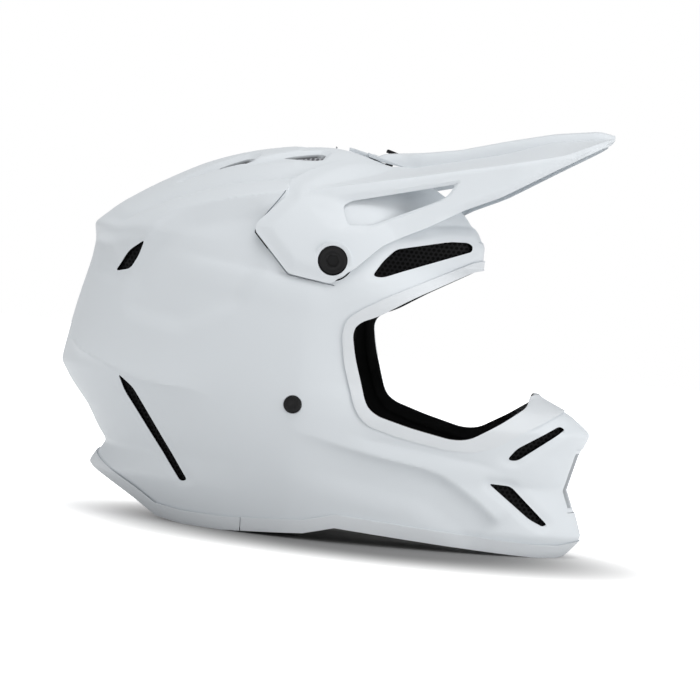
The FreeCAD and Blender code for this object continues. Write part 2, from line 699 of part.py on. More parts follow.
def make_visor():
    visor = visor_blank().common(through(VISOR_SIDE)).cut(through(VISOR_WINDOW))
    tongue = size("tongue_width") / 2
    for label, side in SIDES:
        behind = [(-70, tongue), (36, tongue), (38, tongue + 9), (-33, 92), (-70, 98)]
        visor = visor.cut(from_above(behind, side))
        boss = rod(PIVOT_X, PIVOT_Z, BOSS_R, side * (POCKET_FACE + GAP), side * (PIVOT_Y + VISOR_SKIN))
        visor = visor.fuse(boss)
        visor = visor.cut(rod(PIVOT_X, PIVOT_Z, HEAD_R + GAP, side * WASHER_FACE, side * FAR))
        hole = size("screw_shank") / 2 + size("screw_fit")
        visor = visor.cut(rod(PIVOT_X, PIVOT_Z, hole, side * 60, side * FAR))
    visor = visor.cut(block(-2 * FAR, -tongue - 1, EAR_Z, -2 * STRETCH_X, tongue + 1, 400))
    return visor.cut(crown_slot())


feature("visor", make_visor())

# ---------------------------------------------------------------- fasteners
SCREW_FIT = " + 2 * sizes.screw_fit"


def primitive(kind, label, **bindings):
    piece = doc.addObject("Part::" + kind, label)
    for name, rule in bindings.items():
        piece.setExpression(name, rule)
    return piece


def joined(kind, label, base, tool):
    piece = doc.addObject("Part::" + kind, label)
    piece.Base = base
    piece.Tool = tool
    return piece


def placed(piece, place):
    piece.Label = piece.Name
    piece.Placement = place
    PIECES.append(piece)


def facing(side, x, y, z):
    """A placement whose +Z points outward along Y on one side."""
    return Placement(Vector(x, side * y, z), Rotation(Vector(1, 0, 0), -90 * side))


def screw(label, head, head_height, shank, shank_length, place):
    """A screw whose head rests on its local z = 0, with a hexagon socket."""
    top = primitive("Cylinder", label + "_head", Radius=head + " / 2", Height=head_height)
    stem = primitive("Cylinder", label + "_shank", Radius=shank + " / 2")
    stem.Height = shank_length
    stem.Placement.Base = Vector(0, 0, -shank_length)
    whole = joined("Fuse", label + "_blank", top, stem)
    socket = primitive("Prism", label + "_socket", Circumradius=head + " * 0.26", Height=head_height)
    socket.setExpression(".Placement.Base.z", head_height + " / 2")
    placed(joined("Cut", label, whole, socket), place)


def nut(label, across, height, bore, place):
    corners = across + " / 2 / cos(30)"
    block_shape = primitive("Prism", label + "_block", Circumradius=corners, Height=height)
    hole = primitive("Cylinder", label + "_bore", Radius="(" + bore + SCREW_FIT + ") / 2", Height=height)
    placed(joined("Cut", label, block_shape, hole), place)


def ring_sketch(body, label, outer, inner):
    """A sketch on the body's XY plane with two circles about the origin, bound to the sheet."""
    sketch = body.newObject("Sketcher::SketchObject", label + "_sketch")
    plane = [item for item in body.Origin.OriginFeatures if item.Role == "XY_Plane"][0]
    sketch.AttachmentSupport = [(plane, "")]
    sketch.MapMode = "FlatFace"
    for start, rule in ((8.0, outer), (4.0, inner)):
        circle = sketch.addGeometry(Part.Circle(Vector(0, 0, 0), Vector(0, 0, 1), start))
        sketch.addConstraint(Sketcher.Constraint("Coincident", circle, 3, -1, 1))
        radius = sketch.addConstraint(Sketcher.Constraint("Radius", circle, start))
        sketch.setExpression("Constraints[%d]" % radius, rule)
    return sketch


def washer(label, outer, inner, height, place):
    body = doc.addObject("PartDesign::Body", label)
    pad = body.newObject("PartDesign::Pad", label + "_pad")
    pad.Profile = ring_sketch(body, label, outer, inner)
    pad.setExpression("Length", height)
    placed(body, place)


WASHER_OUTER = "sizes.screw_head_diameter / 2"
WASHER_INNER = "sizes.screw_shank / 2 + sizes.fit_gap"
for label, side in SIDES:
    head_y = WASHER_FACE + size("washer_skin")
    screw("visor_screw_" + label, "sizes.screw_head_diameter", "sizes.screw_head_height",
          "sizes.screw_shank", head_y - NUT_TIP, facing(side, PIVOT_X, head_y, PIVOT_Z))
    washer("visor_washer_" + label, WASHER_OUTER, WASHER_INNER, "sizes.washer_skin",
           facing(side, PIVOT_X, WASHER_FACE, PIVOT_Z))
    nut("visor_nut_" + label, "sizes.nut_size", "sizes.nut_height", "sizes.screw_shank",
        facing(side, PIVOT_X, NUT_TIP, PIVOT_Z))

HEAD_LIFT = TONGUE_TOP + 1.0
CROWN_NUT_TIP = -WALL - 2.5 * GAP - size("nut_height")


def on_crown(height):
    lean = Rotation(Vector(0, 1, 0), math.degrees(CROWN_TILT))
    return Placement(CROWN_FOOT + CROWN_AXIS * height, lean)


screw("crown_screw", "sizes.crown_screw_head", "sizes.crown_screw_head / 4", "sizes.crown_screw_shank",
      HEAD_LIFT - CROWN_NUT_TIP, on_crown(HEAD_LIFT))
nut("crown_nut", "sizes.nut_size", "sizes.nut_height", "sizes.crown_screw_shank", on_crown(CROWN_NUT_TIP))

# ---------------------------------------------------------------- chin strap
def rivet(label, place, length):
    head = primitive("Cylinder", label + "_head", Radius="sizes.rivet_head / 2",
                     Height="sizes.rivet_head_height")
    stem = primitive("Cylinder", label + "_shank", Radius="sizes.rivet_shank / 2")
    stem.Height = length
    stem.Placement.Base = Vector(0, 0, -length)
    tail = primitive("Cylinder", label + "_tail", Radius="sizes.rivet_head * 0.4")
    tail.Height = RIVET_TAIL
    tail.Placement.Base = Vector(0, 0, -length - RIVET_TAIL)
    placed(joined("Fuse", label, joined("Fuse", label + "_top", head, stem), tail), place)


def strap_plate(label, place):
    plate = primitive("Box", label + "_sheet", Length="sizes.plate_width", Width="sizes.plate_height",
                      Height="sizes.plate_skin")
    plate.setExpression(".Placement.Base.x", "-sizes.plate_width / 2")
    plate.setExpression(".Placement.Base.y", "-sizes.plate_height / 2")
    hole = primitive("Cylinder", label + "_hole", Radius="sizes.rivet_shank / 2 + sizes.screw_fit",
                     Height="sizes.plate_skin")
    placed(joined("Cut", label, plate, hole), place)


def band(points, thickness):
    """A closed outline around a route of (y, z) points, half the thickness to each side."""
    left, right = [], []
    for index, (y, z) in enumerate(points):
        y0, z0 = points[max(index - 1, 0)]
        y1, z1 = points[min(index + 1, len(points) - 1)]
        length = math.hypot(y1 - y0, z1 - z0)
        ny, nz = (z0 - z1) / length, (y1 - y0) / length
        left.append((y + ny * thickness / 2, z + nz * thickness / 2))
        right.append((y - ny * thickness / 2, z - nz * thickness / 2))
    return left + list(reversed(right))


def strip(points, side, width):
    corners = [Vector(STRAP_X - width / 2, side * y, z) for y, z in points]
    return Part.Face(Part.makePolygon(corners + corners[:1])).extrude(Vector(width, 0, 0))


STRAP_SKIN = size("strap_skin")
HANG_Y = PLATE_Y - size("plate_skin") - STRAP_SKIN / 2


def hanging(z):
    return outer_y(STRAP_X, z) - WALL - size("strap_room") / 2, z


HANG = [(HANG_Y, STRAP_Z + 12), (HANG_Y, STRAP_Z - 15), hanging(52), hanging(34)]
TURN_Y = outer_y(STRAP_X, 20) - TRIM_IN - 5
LOOP_Y = TURN_Y - 26
BAR_R = size("ring_wire") / 2
BAR_RISE = size("ring_wire") + 1.0
LOW_BAR_Z = BAR_R + GAP + STRAP_SKIN + 2.4
LOOP_R = BAR_R + GAP
FLOOR_Z = STRAP_SKIN / 2 + GAP


def loop_rod(radius):
    """The closed eye of webbing that holds both ring bars, one above the other."""
    half = size("strap_width") / 2
    start = Vector(STRAP_X - half, -LOOP_Y, LOW_BAR_Z)
    low = Part.makeCylinder(radius, 2 * half, start, Vector(1, 0, 0))
    high = low.translated(Vector(0, 0, BAR_RISE))
    middle = block(STRAP_X - half, -LOOP_Y - radius, LOW_BAR_Z,
                   STRAP_X + half, -LOOP_Y + radius, LOW_BAR_Z + BAR_RISE)
    return low.fuse(high).fuse(middle)


def make_right_strap():
    eye_z = LOW_BAR_Z + BAR_RISE
    route = HANG + [(TURN_Y + 3, 20.5), (TURN_Y - 3, 17)]
    route += [(LOOP_Y + LOOP_R + 6, eye_z + 1), (LOOP_Y + LOOP_R + 0.5, eye_z)]
    strap = strip(band(route, STRAP_SKIN), -1, size("strap_width"))
    strap = strap.fuse(loop_rod(LOOP_R + STRAP_SKIN)).cut(loop_rod(LOOP_R))
    return strap.cut(rivet_bore(-1))


def rivet_bore(side):
    return rod(STRAP_X, STRAP_Z, size("rivet_shank") / 2 + size("screw_fit"), side * 60, side * FAR)


def make_left_strap():
    route = HANG + [(TURN_Y + 3, 20.5), (TURN_Y - 4, 16), (TURN_Y - 20, 7), (TURN_Y - 34, FLOOR_Z + 0.6)]
    route += [(TURN_Y - 46, FLOOR_Z), (-28, FLOOR_Z)]
    return strip(band(route, STRAP_SKIN), 1, size("strap_width")).cut(rivet_bore(1))


for label, side in SIDES:
    rivet("strap_rivet_" + label, facing(side, STRAP_X, RIVET_FACE, STRAP_Z), RIVET_FACE - STRAP_BACK)
    strap_plate("strap_plate_" + label, facing(side, STRAP_X, PLATE_Y - size("plate_skin"), STRAP_Z))
feature("chin_strap_right", make_right_strap())
feature("chin_strap_left", make_left_strap())
snap = primitive("Cylinder", "strap_snap", Radius="sizes.snap_diameter / 2", Height="sizes.snap_height")
placed(snap, Placement(Vector(STRAP_X, -12, FLOOR_Z + STRAP_SKIN / 2), Rotation()))


def d_ring(label, place):
    """A bent wire ring: its bar lies along X and its arc reaches toward +Y."""
    half = "(sizes.strap_width / 2 + sizes.ring_play + sizes.ring_wire / 2)"
    arc = primitive("Torus", label + "_arc", Radius1=half, Radius2="sizes.ring_wire / 2")
    arc.Angle3 = 180
    bar = primitive("Cylinder", label + "_bar", Radius="sizes.ring_wire / 2", Height="2 * " + half)
    bar.Placement.Rotation = Rotation(Vector(0, 1, 0), 90)
    bar.setExpression(".Placement.Base.x", "-" + half)
    ring = joined("Fuse", label + "_bow", arc, bar)
    for end, sign in (("front", ""), ("rear", "-")):
        knee = primitive("Sphere", label + "_knee_" + end, Radius="sizes.ring_wire / 2")
        knee.setExpression(".Placement.Base.x", sign + half)
        ring = joined("Fuse", label + "_with_" + end if end == "front" else label, ring, knee)
    placed(ring, place)


d_ring("d_ring_lower", Placement(Vector(STRAP_X, -LOOP_Y, LOW_BAR_Z), Rotation()))
d_ring("d_ring_upper", Placement(Vector(STRAP_X, -LOOP_Y, LOW_BAR_Z + BAR_RISE), Rotation()))

# ---------------------------------------------------------------- checks and files
doc.recompute()
for item in doc.Objects:
    if "Invalid" in item.State or "Error" in item.State:
        raise RuntimeError("%s failed: %s" % (item.Name, item.State))
for piece in PIECES:
    if piece.Shape.isNull() or not piece.Shape.isValid():
        raise RuntimeError("%s has no valid shape" % piece.Label)

os.makedirs("parts", exist_ok=True)
for piece in PIECES:
    piece.Shape.exportStep("parts/%s.step" % piece.Label)
    volume = piece.Shape.Volume / 1000
    print("%-24s %d solid(s) %9.2f cm3" % (piece.Label, len(piece.Shape.Solids), volume))
print("pivot", [round(v, 3) for v in (PIVOT_X, PIVOT_Y, PIVOT_Z)])
print("ring bars", [round(v, 3) for v in (STRAP_X, -LOOP_Y, LOW_BAR_Z, LOW_BAR_Z + BAR_RISE)])
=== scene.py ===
import bpy
import math
import numpy as np
from mathutils import Matrix


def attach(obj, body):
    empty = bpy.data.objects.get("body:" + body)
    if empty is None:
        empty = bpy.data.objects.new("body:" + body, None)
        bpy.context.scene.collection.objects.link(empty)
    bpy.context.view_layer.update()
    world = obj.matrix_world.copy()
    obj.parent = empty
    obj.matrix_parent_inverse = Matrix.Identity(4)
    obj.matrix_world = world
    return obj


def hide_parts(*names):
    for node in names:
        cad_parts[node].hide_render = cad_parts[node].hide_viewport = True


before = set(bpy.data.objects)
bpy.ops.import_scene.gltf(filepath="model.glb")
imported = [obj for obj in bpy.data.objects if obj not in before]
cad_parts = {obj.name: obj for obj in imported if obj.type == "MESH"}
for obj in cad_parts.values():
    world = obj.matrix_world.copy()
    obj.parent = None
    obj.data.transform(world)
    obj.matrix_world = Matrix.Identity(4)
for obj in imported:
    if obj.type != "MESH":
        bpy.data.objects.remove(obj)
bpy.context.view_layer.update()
scene = bpy.context.scene
shellBody = "helmet"
visorBody = "visor"
millimetre = 0.001


# A number or a tuple becomes the socket's own value, anything else is linked to it
def feed(tree, socket, value):
    if isinstance(value, (int, float, tuple)):
        socket.default_value = value
    else:
        tree.links.new(value, socket)


def mathNode(tree, operation, a, b=None):
    node = tree.nodes.new("ShaderNodeMath")
    node.operation = operation
    for socket, value in zip(node.inputs, (a, b)):
        if value is not None:
            feed(tree, socket, value)
    return node.outputs[0]


def vectorNode(tree, operation, a, b=None, scale=None):
    node = tree.nodes.new("ShaderNodeVectorMath")
    node.operation = operation
    for index, value in ((0, a), (1, b), ("Scale", scale)):
        if value is not None:
            feed(tree, node.inputs[index], value)
    return node.outputs["Value"] if operation == "LENGTH" else node.outputs["Vector"]


def mixColor(tree, factor, low, high):
    node = tree.nodes.new("ShaderNodeMix")
    node.data_type = "RGBA"
    feed(tree, node.inputs[0], factor)
    for index, value in ((6, low), (7, high)):
        feed(tree, node.inputs[index], (*value, 1) if isinstance(value, tuple) else value)
    return node.outputs[2]


def mapRange(tree, value, low, high, toLow, toHigh, curve="LINEAR"):
    node = tree.nodes.new("ShaderNodeMapRange")
    node.interpolation_type = curve
    feed(tree, node.inputs["Value"], value)
    for label, number in (("From Min", low), ("From Max", high), ("To Min", toLow), ("To Max", toHigh)):
        node.inputs[label].default_value = number
    return node.outputs["Result"]


cameraView = dict(target=(0.0116, 0.0, 0.1197), distance=2.7, azimuth=3.5, elevation=2.2, roll=6.3,
                  lens=210.4, sensor=36.0, farEnd=20.0)
# the floor's painted shadow: a darker colour and a darker bounce in an ellipse under the helmet
studio = dict(floorSize=6.0, floorColor=(1.2, 1.2, 1.2), paintedShadowColor=(0.22, 0.22, 0.22),
              floorBounce=(0.92, 0.92, 0.92), paintedShadowBounce=(0.55, 0.55, 0.55), floorRoughness=0.9,
              nearGlow=0.0, farGlow=0.9, shadowCentre=(0.04, -0.07, 0.0),
              shadowReach=(0.205, 0.17, 1.0), shadowStart=0.35, shadowEnd=1.5, ambient=0.56)
# place, aim, size and power
lamps = dict(
    frontLamp=((1.2, -2.0, 0.45), (0.0, 0, 0.13), 2.0, 5.0),
    topLamp=((0.2, -0.5, 2.2), (0, 0, 0.1), 1.4, 20.0),
    noseLamp=((2.3, -0.75, 0.35), (0.1, 0, 0.12), 1.4, 23.0),
    rearLamp=((-1.8, -0.9, 0.35), (0, 0, 0.12), 1.4, 4.0),
)


# Azimuth turns the view about Z, elevation lifts it and roll turns the picture
def makeCamera(spec):
    a, e, r = (math.radians(spec[k]) for k in ("azimuth", "elevation", "roll"))
    forward = np.array([-math.sin(a) * math.cos(e), math.cos(a) * math.cos(e), -math.sin(e)])
    right = np.array([math.cos(a), math.sin(a), 0.0])
    up = np.cross(right, forward)
    right, up = math.cos(r) * right + math.sin(r) * up, -math.sin(r) * right + math.cos(r) * up
    data = bpy.data.cameras.new("camera")
    data.lens, data.sensor_width, data.clip_end = spec["lens"], spec["sensor"], spec["farEnd"]
    camera = bpy.data.objects.new("camera", data)
    scene.collection.objects.link(camera)
    place = np.eye(4)
    place[:3, 0], place[:3, 1], place[:3, 2] = right, up, -forward
    place[:3, 3] = np.array(spec["target"]) - forward * spec["distance"]
    camera.matrix_world = Matrix(place.tolist())
    scene.camera = camera


def makeLamp(name, location, aim, wide, power):
    data = bpy.data.lights.new(name, "AREA")
    data.shape, data.size, data.energy = "DISK", wide, power
    lamp = bpy.data.objects.new(name, data)
    scene.collection.objects.link(lamp)
    z = np.array(location) - np.array(aim)
    z = z / np.linalg.norm(z)
    x = np.cross((0.0, 1.0, 0.001), z)
    x = x / np.linalg.norm(x)
    place = np.eye(4)
    place[:3, 0], place[:3, 1], place[:3, 2], place[:3, 3] = x, np.cross(z, x), z, location
    lamp.matrix_world = Matrix(place.tolist())


# The paper carries a painted shadow: it darkens toward an ellipse under the helmet, as seen and in the light it
# bounces, and glows white away from it
def makeFloor(spec):
    half = spec["floorSize"] / 2
    mesh = bpy.data.meshes.new("floor")
    corners = [(-half, -half, 0), (half, -half, 0), (half, half, 0), (-half, half, 0)]
    mesh.from_pydata(corners, [], [(0, 1, 2, 3)])
    floor = bpy.data.objects.new("floor", mesh)
    scene.collection.objects.link(floor)
    paper = bpy.data.materials.new("floorPaper")
    paper.use_nodes = True
    tree = paper.node_tree
    shader = tree.nodes["Principled BSDF"]
    rays = tree.nodes.new("ShaderNodeLightPath").outputs
    place = tree.nodes.new("ShaderNodeTexCoord").outputs["Object"]
    offset = vectorNode(tree, "SUBTRACT", place, spec["shadowCentre"])
    reach = vectorNode(tree, "LENGTH", vectorNode(tree, "DIVIDE", offset, spec["shadowReach"]))
    away = mapRange(tree, reach, spec["shadowStart"], spec["shadowEnd"], 0.0, 1.0, "SMOOTHSTEP")
    shown = mixColor(tree, away, spec["paintedShadowColor"], spec["floorColor"])
    bounce = mixColor(tree, away, spec["paintedShadowBounce"], spec["floorBounce"])
    feed(tree, shader.inputs["Base Color"], mixColor(tree, rays["Is Camera Ray"], bounce, shown))
    seen = mathNode(tree, "MAXIMUM", rays["Is Camera Ray"], rays["Is Glossy Ray"])
    glow = mapRange(tree, away, 0.0, 1.0, spec["nearGlow"], spec["farGlow"])
    feed(tree, shader.inputs["Emission Strength"], mathNode(tree, "MULTIPLY", seen, glow))
    shader.inputs["Emission Color"].default_value = (1, 1, 1, 1)
    shader.inputs["Roughness"].default_value = spec["floorRoughness"]
    shader.inputs["Specular IOR Level"].default_value = 0.0
    mesh.materials.append(paper)


# White where the camera looks, dimmer where it only lights
def makeWorld(spec):
    world = bpy.data.worlds.new("studioWorld")
    scene.world = world
    world.use_nodes = True
    tree = world.node_tree
    back = tree.nodes["Background"]
    rays = tree.nodes.new("ShaderNodeLightPath").outputs
    seen = mathNode(tree, "MAXIMUM", rays["Is Camera Ray"], rays["Is Transmission Ray"])
    feed(tree, back.inputs["Strength"], mapRange(tree, seen, 0.0, 1.0, spec["ambient"], 1.0))
    back.inputs["Color"].default_value = (1, 1, 1, 1)


makeCamera(cameraView)
makeFloor(studio)
makeWorld(studio)
for lampName, lampSpec in lamps.items():
    makeLamp(lampName, *lampSpec)
scene.view_settings.view_transform = "Standard"
print("stage: camera and studio")


# Points in millimetres as an (n, 3) array, faces as an (m, k) array or a list of loops
def newObject(name, points, faces, smooth=True):
    mesh = bpy.data.meshes.new(name)
    faces = faces.tolist() if hasattr(faces, "tolist") else faces
    mesh.from_pydata((np.asarray(points) * millimetre).tolist(), [], faces)
    if smooth:
        mesh.polygons.foreach_set("use_smooth", np.ones(len(mesh.polygons), dtype=bool))
    mesh.update()
    obj = bpy.data.objects.new(name, mesh)
    scene.collection.objects.link(obj)
    return obj


# Turns a closed mesh the right way out by the sign of its volume
def orient(obj):
    mesh = obj.data
    mesh.calc_loop_triangles()
    tri = np.empty(len(mesh.loop_triangles) * 3, dtype=np.int64)
    mesh.loop_triangles.foreach_get("vertices", tri)
    p = meshPoints(obj)[tri.reshape(-1, 3)]
    if np.sum(p[:, 0] * np.cross(p[:, 1], p[:, 2])) < 0:
        mesh.flip_normals()


def dropObject(obj):
    mesh = obj.data
    bpy.data.objects.remove(obj)
    bpy.data.meshes.remove(mesh)


# The object's mesh becomes what its modifiers make of it
def applyModifiers(obj):
    scene.view_layers[0].update()
    deps = bpy.context.evaluated_depsgraph_get()
    made = bpy.data.meshes.new_from_object(obj.evaluated_get(deps))
    old = obj.data
    obj.modifiers.clear()
    obj.data = made
    bpy.data.meshes.remove(old)


def meshPoints(obj):
    co = np.empty(len(obj.data.vertices) * 3)
    obj.data.vertices.foreach_get("co", co)
    return co.reshape(-1, 3) / millimetre


def meshFaces(obj):
    return [list(p.vertices) for p in obj.data.polygons]


def joinObjects(first, second):
    points = np.concatenate([meshPoints(first), meshPoints(second)])
    count = len(first.data.vertices)
    faces = meshFaces(first) + [[i + count for i in face] for face in meshFaces(second)]
    old = first.data
    made = newObject("joined", points, faces)
    first.data = made.data
    bpy.data.objects.remove(made)
    bpy.data.meshes.remove(old)
    dropObject(second)


# Boolean of an object with closed tools, which are then removed
def carve(obj, tools, operation="DIFFERENCE"):
    for tool in tools:
        modifier = obj.modifiers.new("carve", "BOOLEAN")
        modifier.operation, modifier.object, modifier.solver = operation, tool, "MANIFOLD"
    applyModifiers(obj)
    for tool in tools:
        dropObject(tool)


# Smooth faces that break only where they meet at more than an angle, with an optional small bevel
def finishEdges(obj, angle=32.0, bevel=0.0):
    mesh = obj.data
    mesh.polygons.foreach_set("use_smooth", np.ones(len(mesh.polygons), dtype=bool))
    if bevel:
        modifier = obj.modifiers.new("bevel", "BEVEL")
        modifier.width, modifier.segments, modifier.limit_method = bevel * millimetre, 2, "ANGLE"
        modifier.angle_limit = math.radians(45)
        modifier.use_clamp_overlap = True
        applyModifiers(obj)
        mesh = obj.data
    mesh.validate()
    mesh.set_sharp_from_angle(angle=math.radians(angle))


insideShade = dict(middle=(0.0, 0.0, 0.14), low=0.25, high=0.6)


# Point attribute for the painted shade inside: 1 where the wall faces the middle of the head, 0 where it faces
# away from it
def paintInsideShade(obj, spec=insideShade):
    mesh = obj.data
    place, facing = np.empty((2, len(mesh.vertices) * 3), dtype=np.float32)
    mesh.vertices.foreach_get("co", place)
    mesh.vertex_normals.foreach_get("vector", facing)
    toMiddle = np.array(spec["middle"]) - place.reshape(-1, 3)
    inward = (facing.reshape(-1, 3) * toMiddle).sum(axis=1) / np.linalg.norm(toMiddle, axis=1)
    shade = smoothStep(spec["low"], spec["high"], inward).astype(np.float32)
    mesh.attributes.new("shade", "FLOAT", "POINT").data.foreach_set("value", shade)


def finish(obj, material):
    obj.data.materials.clear()
    obj.data.materials.append(materials[material])


# Finish and body of a piece, and the nodes that it stands for; its slot is not used
def dress(obj, material, slot, body, *nodes):
    finish(obj, material)
    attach(obj, body)
    if nodes:
        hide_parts(*nodes)
    return obj


# Quads of a grid of points in rows, with the columns joined up where closed
def gridFaces(rows, columns, closed):
    wide = columns if closed else columns - 1
    r, c = np.meshgrid(np.arange(rows - 1), np.arange(wide), indexing="ij")
    a, b = r * columns + c, r * columns + (c + 1) % columns
    return np.stack([a, b, b + columns, a + columns], axis=-1).reshape(-1, 4)


# Each corner of a closed outline becomes a quadratic curve that starts a radius before it
def roundedOutline(points, radius, steps=5):
    p = np.asarray(points, dtype=float)
    before, after = np.roll(p, 1, axis=0) - p, np.roll(p, -1, axis=0) - p
    reach = np.minimum(np.linalg.norm(before, axis=1), np.linalg.norm(after, axis=1)) * 0.49
    reach = np.minimum(reach, radius)[:, None]
    start = p + before / np.linalg.norm(before, axis=1)[:, None] * reach
    end = p + after / np.linalg.norm(after, axis=1)[:, None] * reach
    t = np.linspace(0, 1, steps)[None, :, None]
    curve = (1 - t) ** 2 * start[:, None] + 2 * t * (1 - t) * p[:, None] + t ** 2 * end[:, None]
    return curve.reshape(-1, 2)


# A closed outline moved outward, square to its edges, by a distance
def grown(points, distance):
    p = np.asarray(points, dtype=float)
    x, y = p[:, 0], p[:, 1]
    turn = np.sign(np.sum(x * np.roll(y, -1) - np.roll(x, -1) * y))
    step = np.roll(p, -1, axis=0) - p
    step = step / np.linalg.norm(step, axis=1)[:, None]
    normal = np.stack([step[:, 1], -step[:, 0]], axis=1) * turn
    previous = np.roll(normal, 1, axis=0)
    mitre = np.maximum(1 + np.sum(normal * previous, axis=1), 0.5)[:, None]
    return p + (normal + previous) / mitre * distance


farSide = 200  # past every side of the helmet
farTop = (150, 300)
underGround = [(240, -60), (-240, -60)]


# A closed prism of an outline in side view (x, z) or, with axis z, in plan (x, y)
def prism(outline, low, high, axis="y"):
    p = np.asarray(outline, dtype=float)
    n = len(p)
    ends = []
    for level in (low, high):
        flat = np.full(n, float(level))
        ends.append(np.stack([p[:, 0], flat, p[:, 1]] if axis == "y" else [p[:, 0], p[:, 1], flat], axis=1))
    area = np.sum(p[:, 0] * np.roll(p[:, 1], -1) - np.roll(p[:, 0], -1) * p[:, 1])
    flip = (area > 0) == (axis == "y")
    ring = np.arange(n)
    nxt = (ring + 1) % n
    sides = np.stack([ring, nxt, nxt + n, ring + n], axis=1).tolist()
    loops = sides + [ring[::-1].tolist(), (ring + n).tolist()]
    if flip:
        loops = [loop[::-1] for loop in loops]
    return newObject("prism", np.concatenate(ends), loops, smooth=False)


# A prism right through the helmet, or from an inner to an outer distance on one side of it
def through(outline, side=0, inner=0.0, outer=farSide):
    return prism(outline, *sorted((side * inner, side * outer))) if side else prism(outline, -outer, outer)


# 0 below low and 1 above high, with a smooth S between
def smoothStep(low, high, value):
    t = np.clip((value - low) / (high - low), 0, 1)
    return t * t * (3 - 2 * t)


# Distance to a polyline, its side (positive to the left of its run) and how far along it
def lineDistance(x, z, line):
    p = np.asarray(line, dtype=float)
    best = np.full(x.shape, 1e9)
    side = np.zeros(x.shape)
    along = np.zeros(x.shape)
    run = 0.0
    for (x0, z0), (x1, z1) in zip(p[:-1], p[1:]):
        dx, dz = x1 - x0, z1 - z0
        length = math.hypot(dx, dz)
        t = np.clip(((x - x0) * dx + (z - z0) * dz) / length ** 2, 0, 1)
        gap = np.hypot(x - x0 - t * dx, z - z0 - t * dz)
        near = gap < best
        best = np.where(near, gap, best)
        side = np.where(near, np.sign(dx * (z - z0) - dz * (x - x0)), side)
        along = np.where(near, run + t * length, along)
        run += length
    return best, side, along, run


# Distance to a closed outline, negative inside it
def outlineDistance(x, z, outline):
    p = np.asarray(outline, dtype=float)
    gap = lineDistance(x, z, np.concatenate([p, p[:1]]))[0]
    inside = np.zeros(x.shape, dtype=bool)
    for (x0, z0), (x1, z1) in zip(p, np.roll(p, -1, axis=0)):
        if z0 != z1:
            inside ^= ((z0 > z) != (z1 > z)) & (x < (x1 - x0) * (z - z0) / (z1 - z0) + x0)
    return np.where(inside, -gap, gap)


shellForm = dict(
    halfWidth=124.0, earX=-12.0, earZ=110.0, topZ=251.0, apexX=-11.5, wall=3.5,
    outline=(  # height, rear end, front end
        (-8, -110, 156), (4, -120, 168), (14, -132, 176.7), (28, -151, 171.5), (44, -141.4, 164.6),
        (67, -156.5, 169.8), (82, -169.5, 175.4), (93, -176.7, 161), (103.5, -175.3, 136),
        (131, -170.7, 124), (161, -163.6, 104), (172, -161.9, 98), (182, -163.6, 92), (185.5, -164.3, 92.4),
        (196.5, -152.3, 92.5), (204, -141, 89), (212.5, -128, 82.8), (223, -110, 70.5), (231, -95.5, 57.5),
        (238, -78, 42), (243.5, -60, 27), (247.3, -42.5, 12), (249.5, -28, 1), (250.5, -18, -5)),
)
eyeport = ((250, 181.7), (91, 181.7), (54, 160), (34, 146.8), (25, 143), (20.4, 139), (19.3, 133.5),
           (22, 120), (31, 93), (34, 88), (40, 84), (61, 78.3), (88, 72.8), (99, 74), (118, 86),
           (133, 97.6), (133, 104.5), (250, 104.5))
trimEdge = ((250, 188), (91, 188), (65, 174), (39, 160), (22, 149.5), (14.5, 143), (12.8, 133.5),
            (16, 115), (25, 89), (29, 82.5), (35, 77.3), (56, 71.2), (86, 65.8), (102, 65.6),
            (116, 69.9), (131, 80.3), (153.5, 93.8), (166, 101.5), (250, 101.5))
baseLine = ((-200, 40), (-151, 30), (-113, 11), (-98, 2), (-80, 0), (-52, 0), (0, 4), (20, 9.5),
            (97, 3.5), (146, 0), (162, 0), (176, 3), (200, 6))
vents = dict(
    brow_vent=((27.3, 172), (34, 171.6), (44, 176), (86.3, 193.4), (86, 197.3), (83, 199), (72, 198.5),
               (40, 190.3), (33, 182.2)),
    chin_vent_upper=((123.7, 63), (130, 62.5), (154, 80.9), (158.5, 85), (154.7, 86.9), (129.4, 70.7)),
    chin_vent_lower=((113.5, 46.8), (142, 25), (151, 20.8), (153.5, 22.5), (128, 45.8)),
    rear_slot=((-128.7, 92), (-118, 84.4), (-76.5, 29.5), (-81, 28), (-123.8, 81.6)),
    rear_vent=((-121.2, 178.8), (-131.4, 171), (-140.2, 156.2), (-129.2, 159.2), (-124.4, 168)),
)
crownVents = dict(
    crown_vents_front=((-42, 57), (-18, 47), (-14, 50), (-16, 62), (-20, 64)),
    crown_vents_rear=((-84, 52), (-64, 43), (-60, 46), (-62, 57), (-66, 59)),
)
visorSide = ((-32.9, 230), (-32.9, 216.7), (-49.5, 197.3), (-49.9, 193), (-25.1, 168), (2.7, 164.3),
             (7.7, 169.4), (16, 175.2), (31.5, 191.6), (45, 199.4), (58, 206.2), (80, 219.7),
             (101.5, 230), (136, 252), (161, 267.6), (167.5, 272.5), (169.9, 276), (169.6, 279.6), (164, 283),
             (150, 300), (-32.9, 320))
visorPlan = ((-80, 130), (60, 130), (120, 100), (158, 72), (166, 52), (169.3, 28), (170.5, 0))
visorWindow = ((3, 213.8), (8, 217.6), (30, 223.7), (72.6, 235.6), (68.3, 227.9), (63.3, 223.9),
               (23.2, 203.8), (8, 202.2))
crownScoops = (((-62, 64), (-42, 57), (-18, 47), (-14, 50), (-16, 62), (-20, 64), (-42, 65)),
               ((-104, 54), (-84, 52), (-64, 43), (-60, 46), (-62, 57), (-66, 59), (-86, 57)))
tongueSeat = dict(depth=1.5, half=21.0, rear=-38.0)
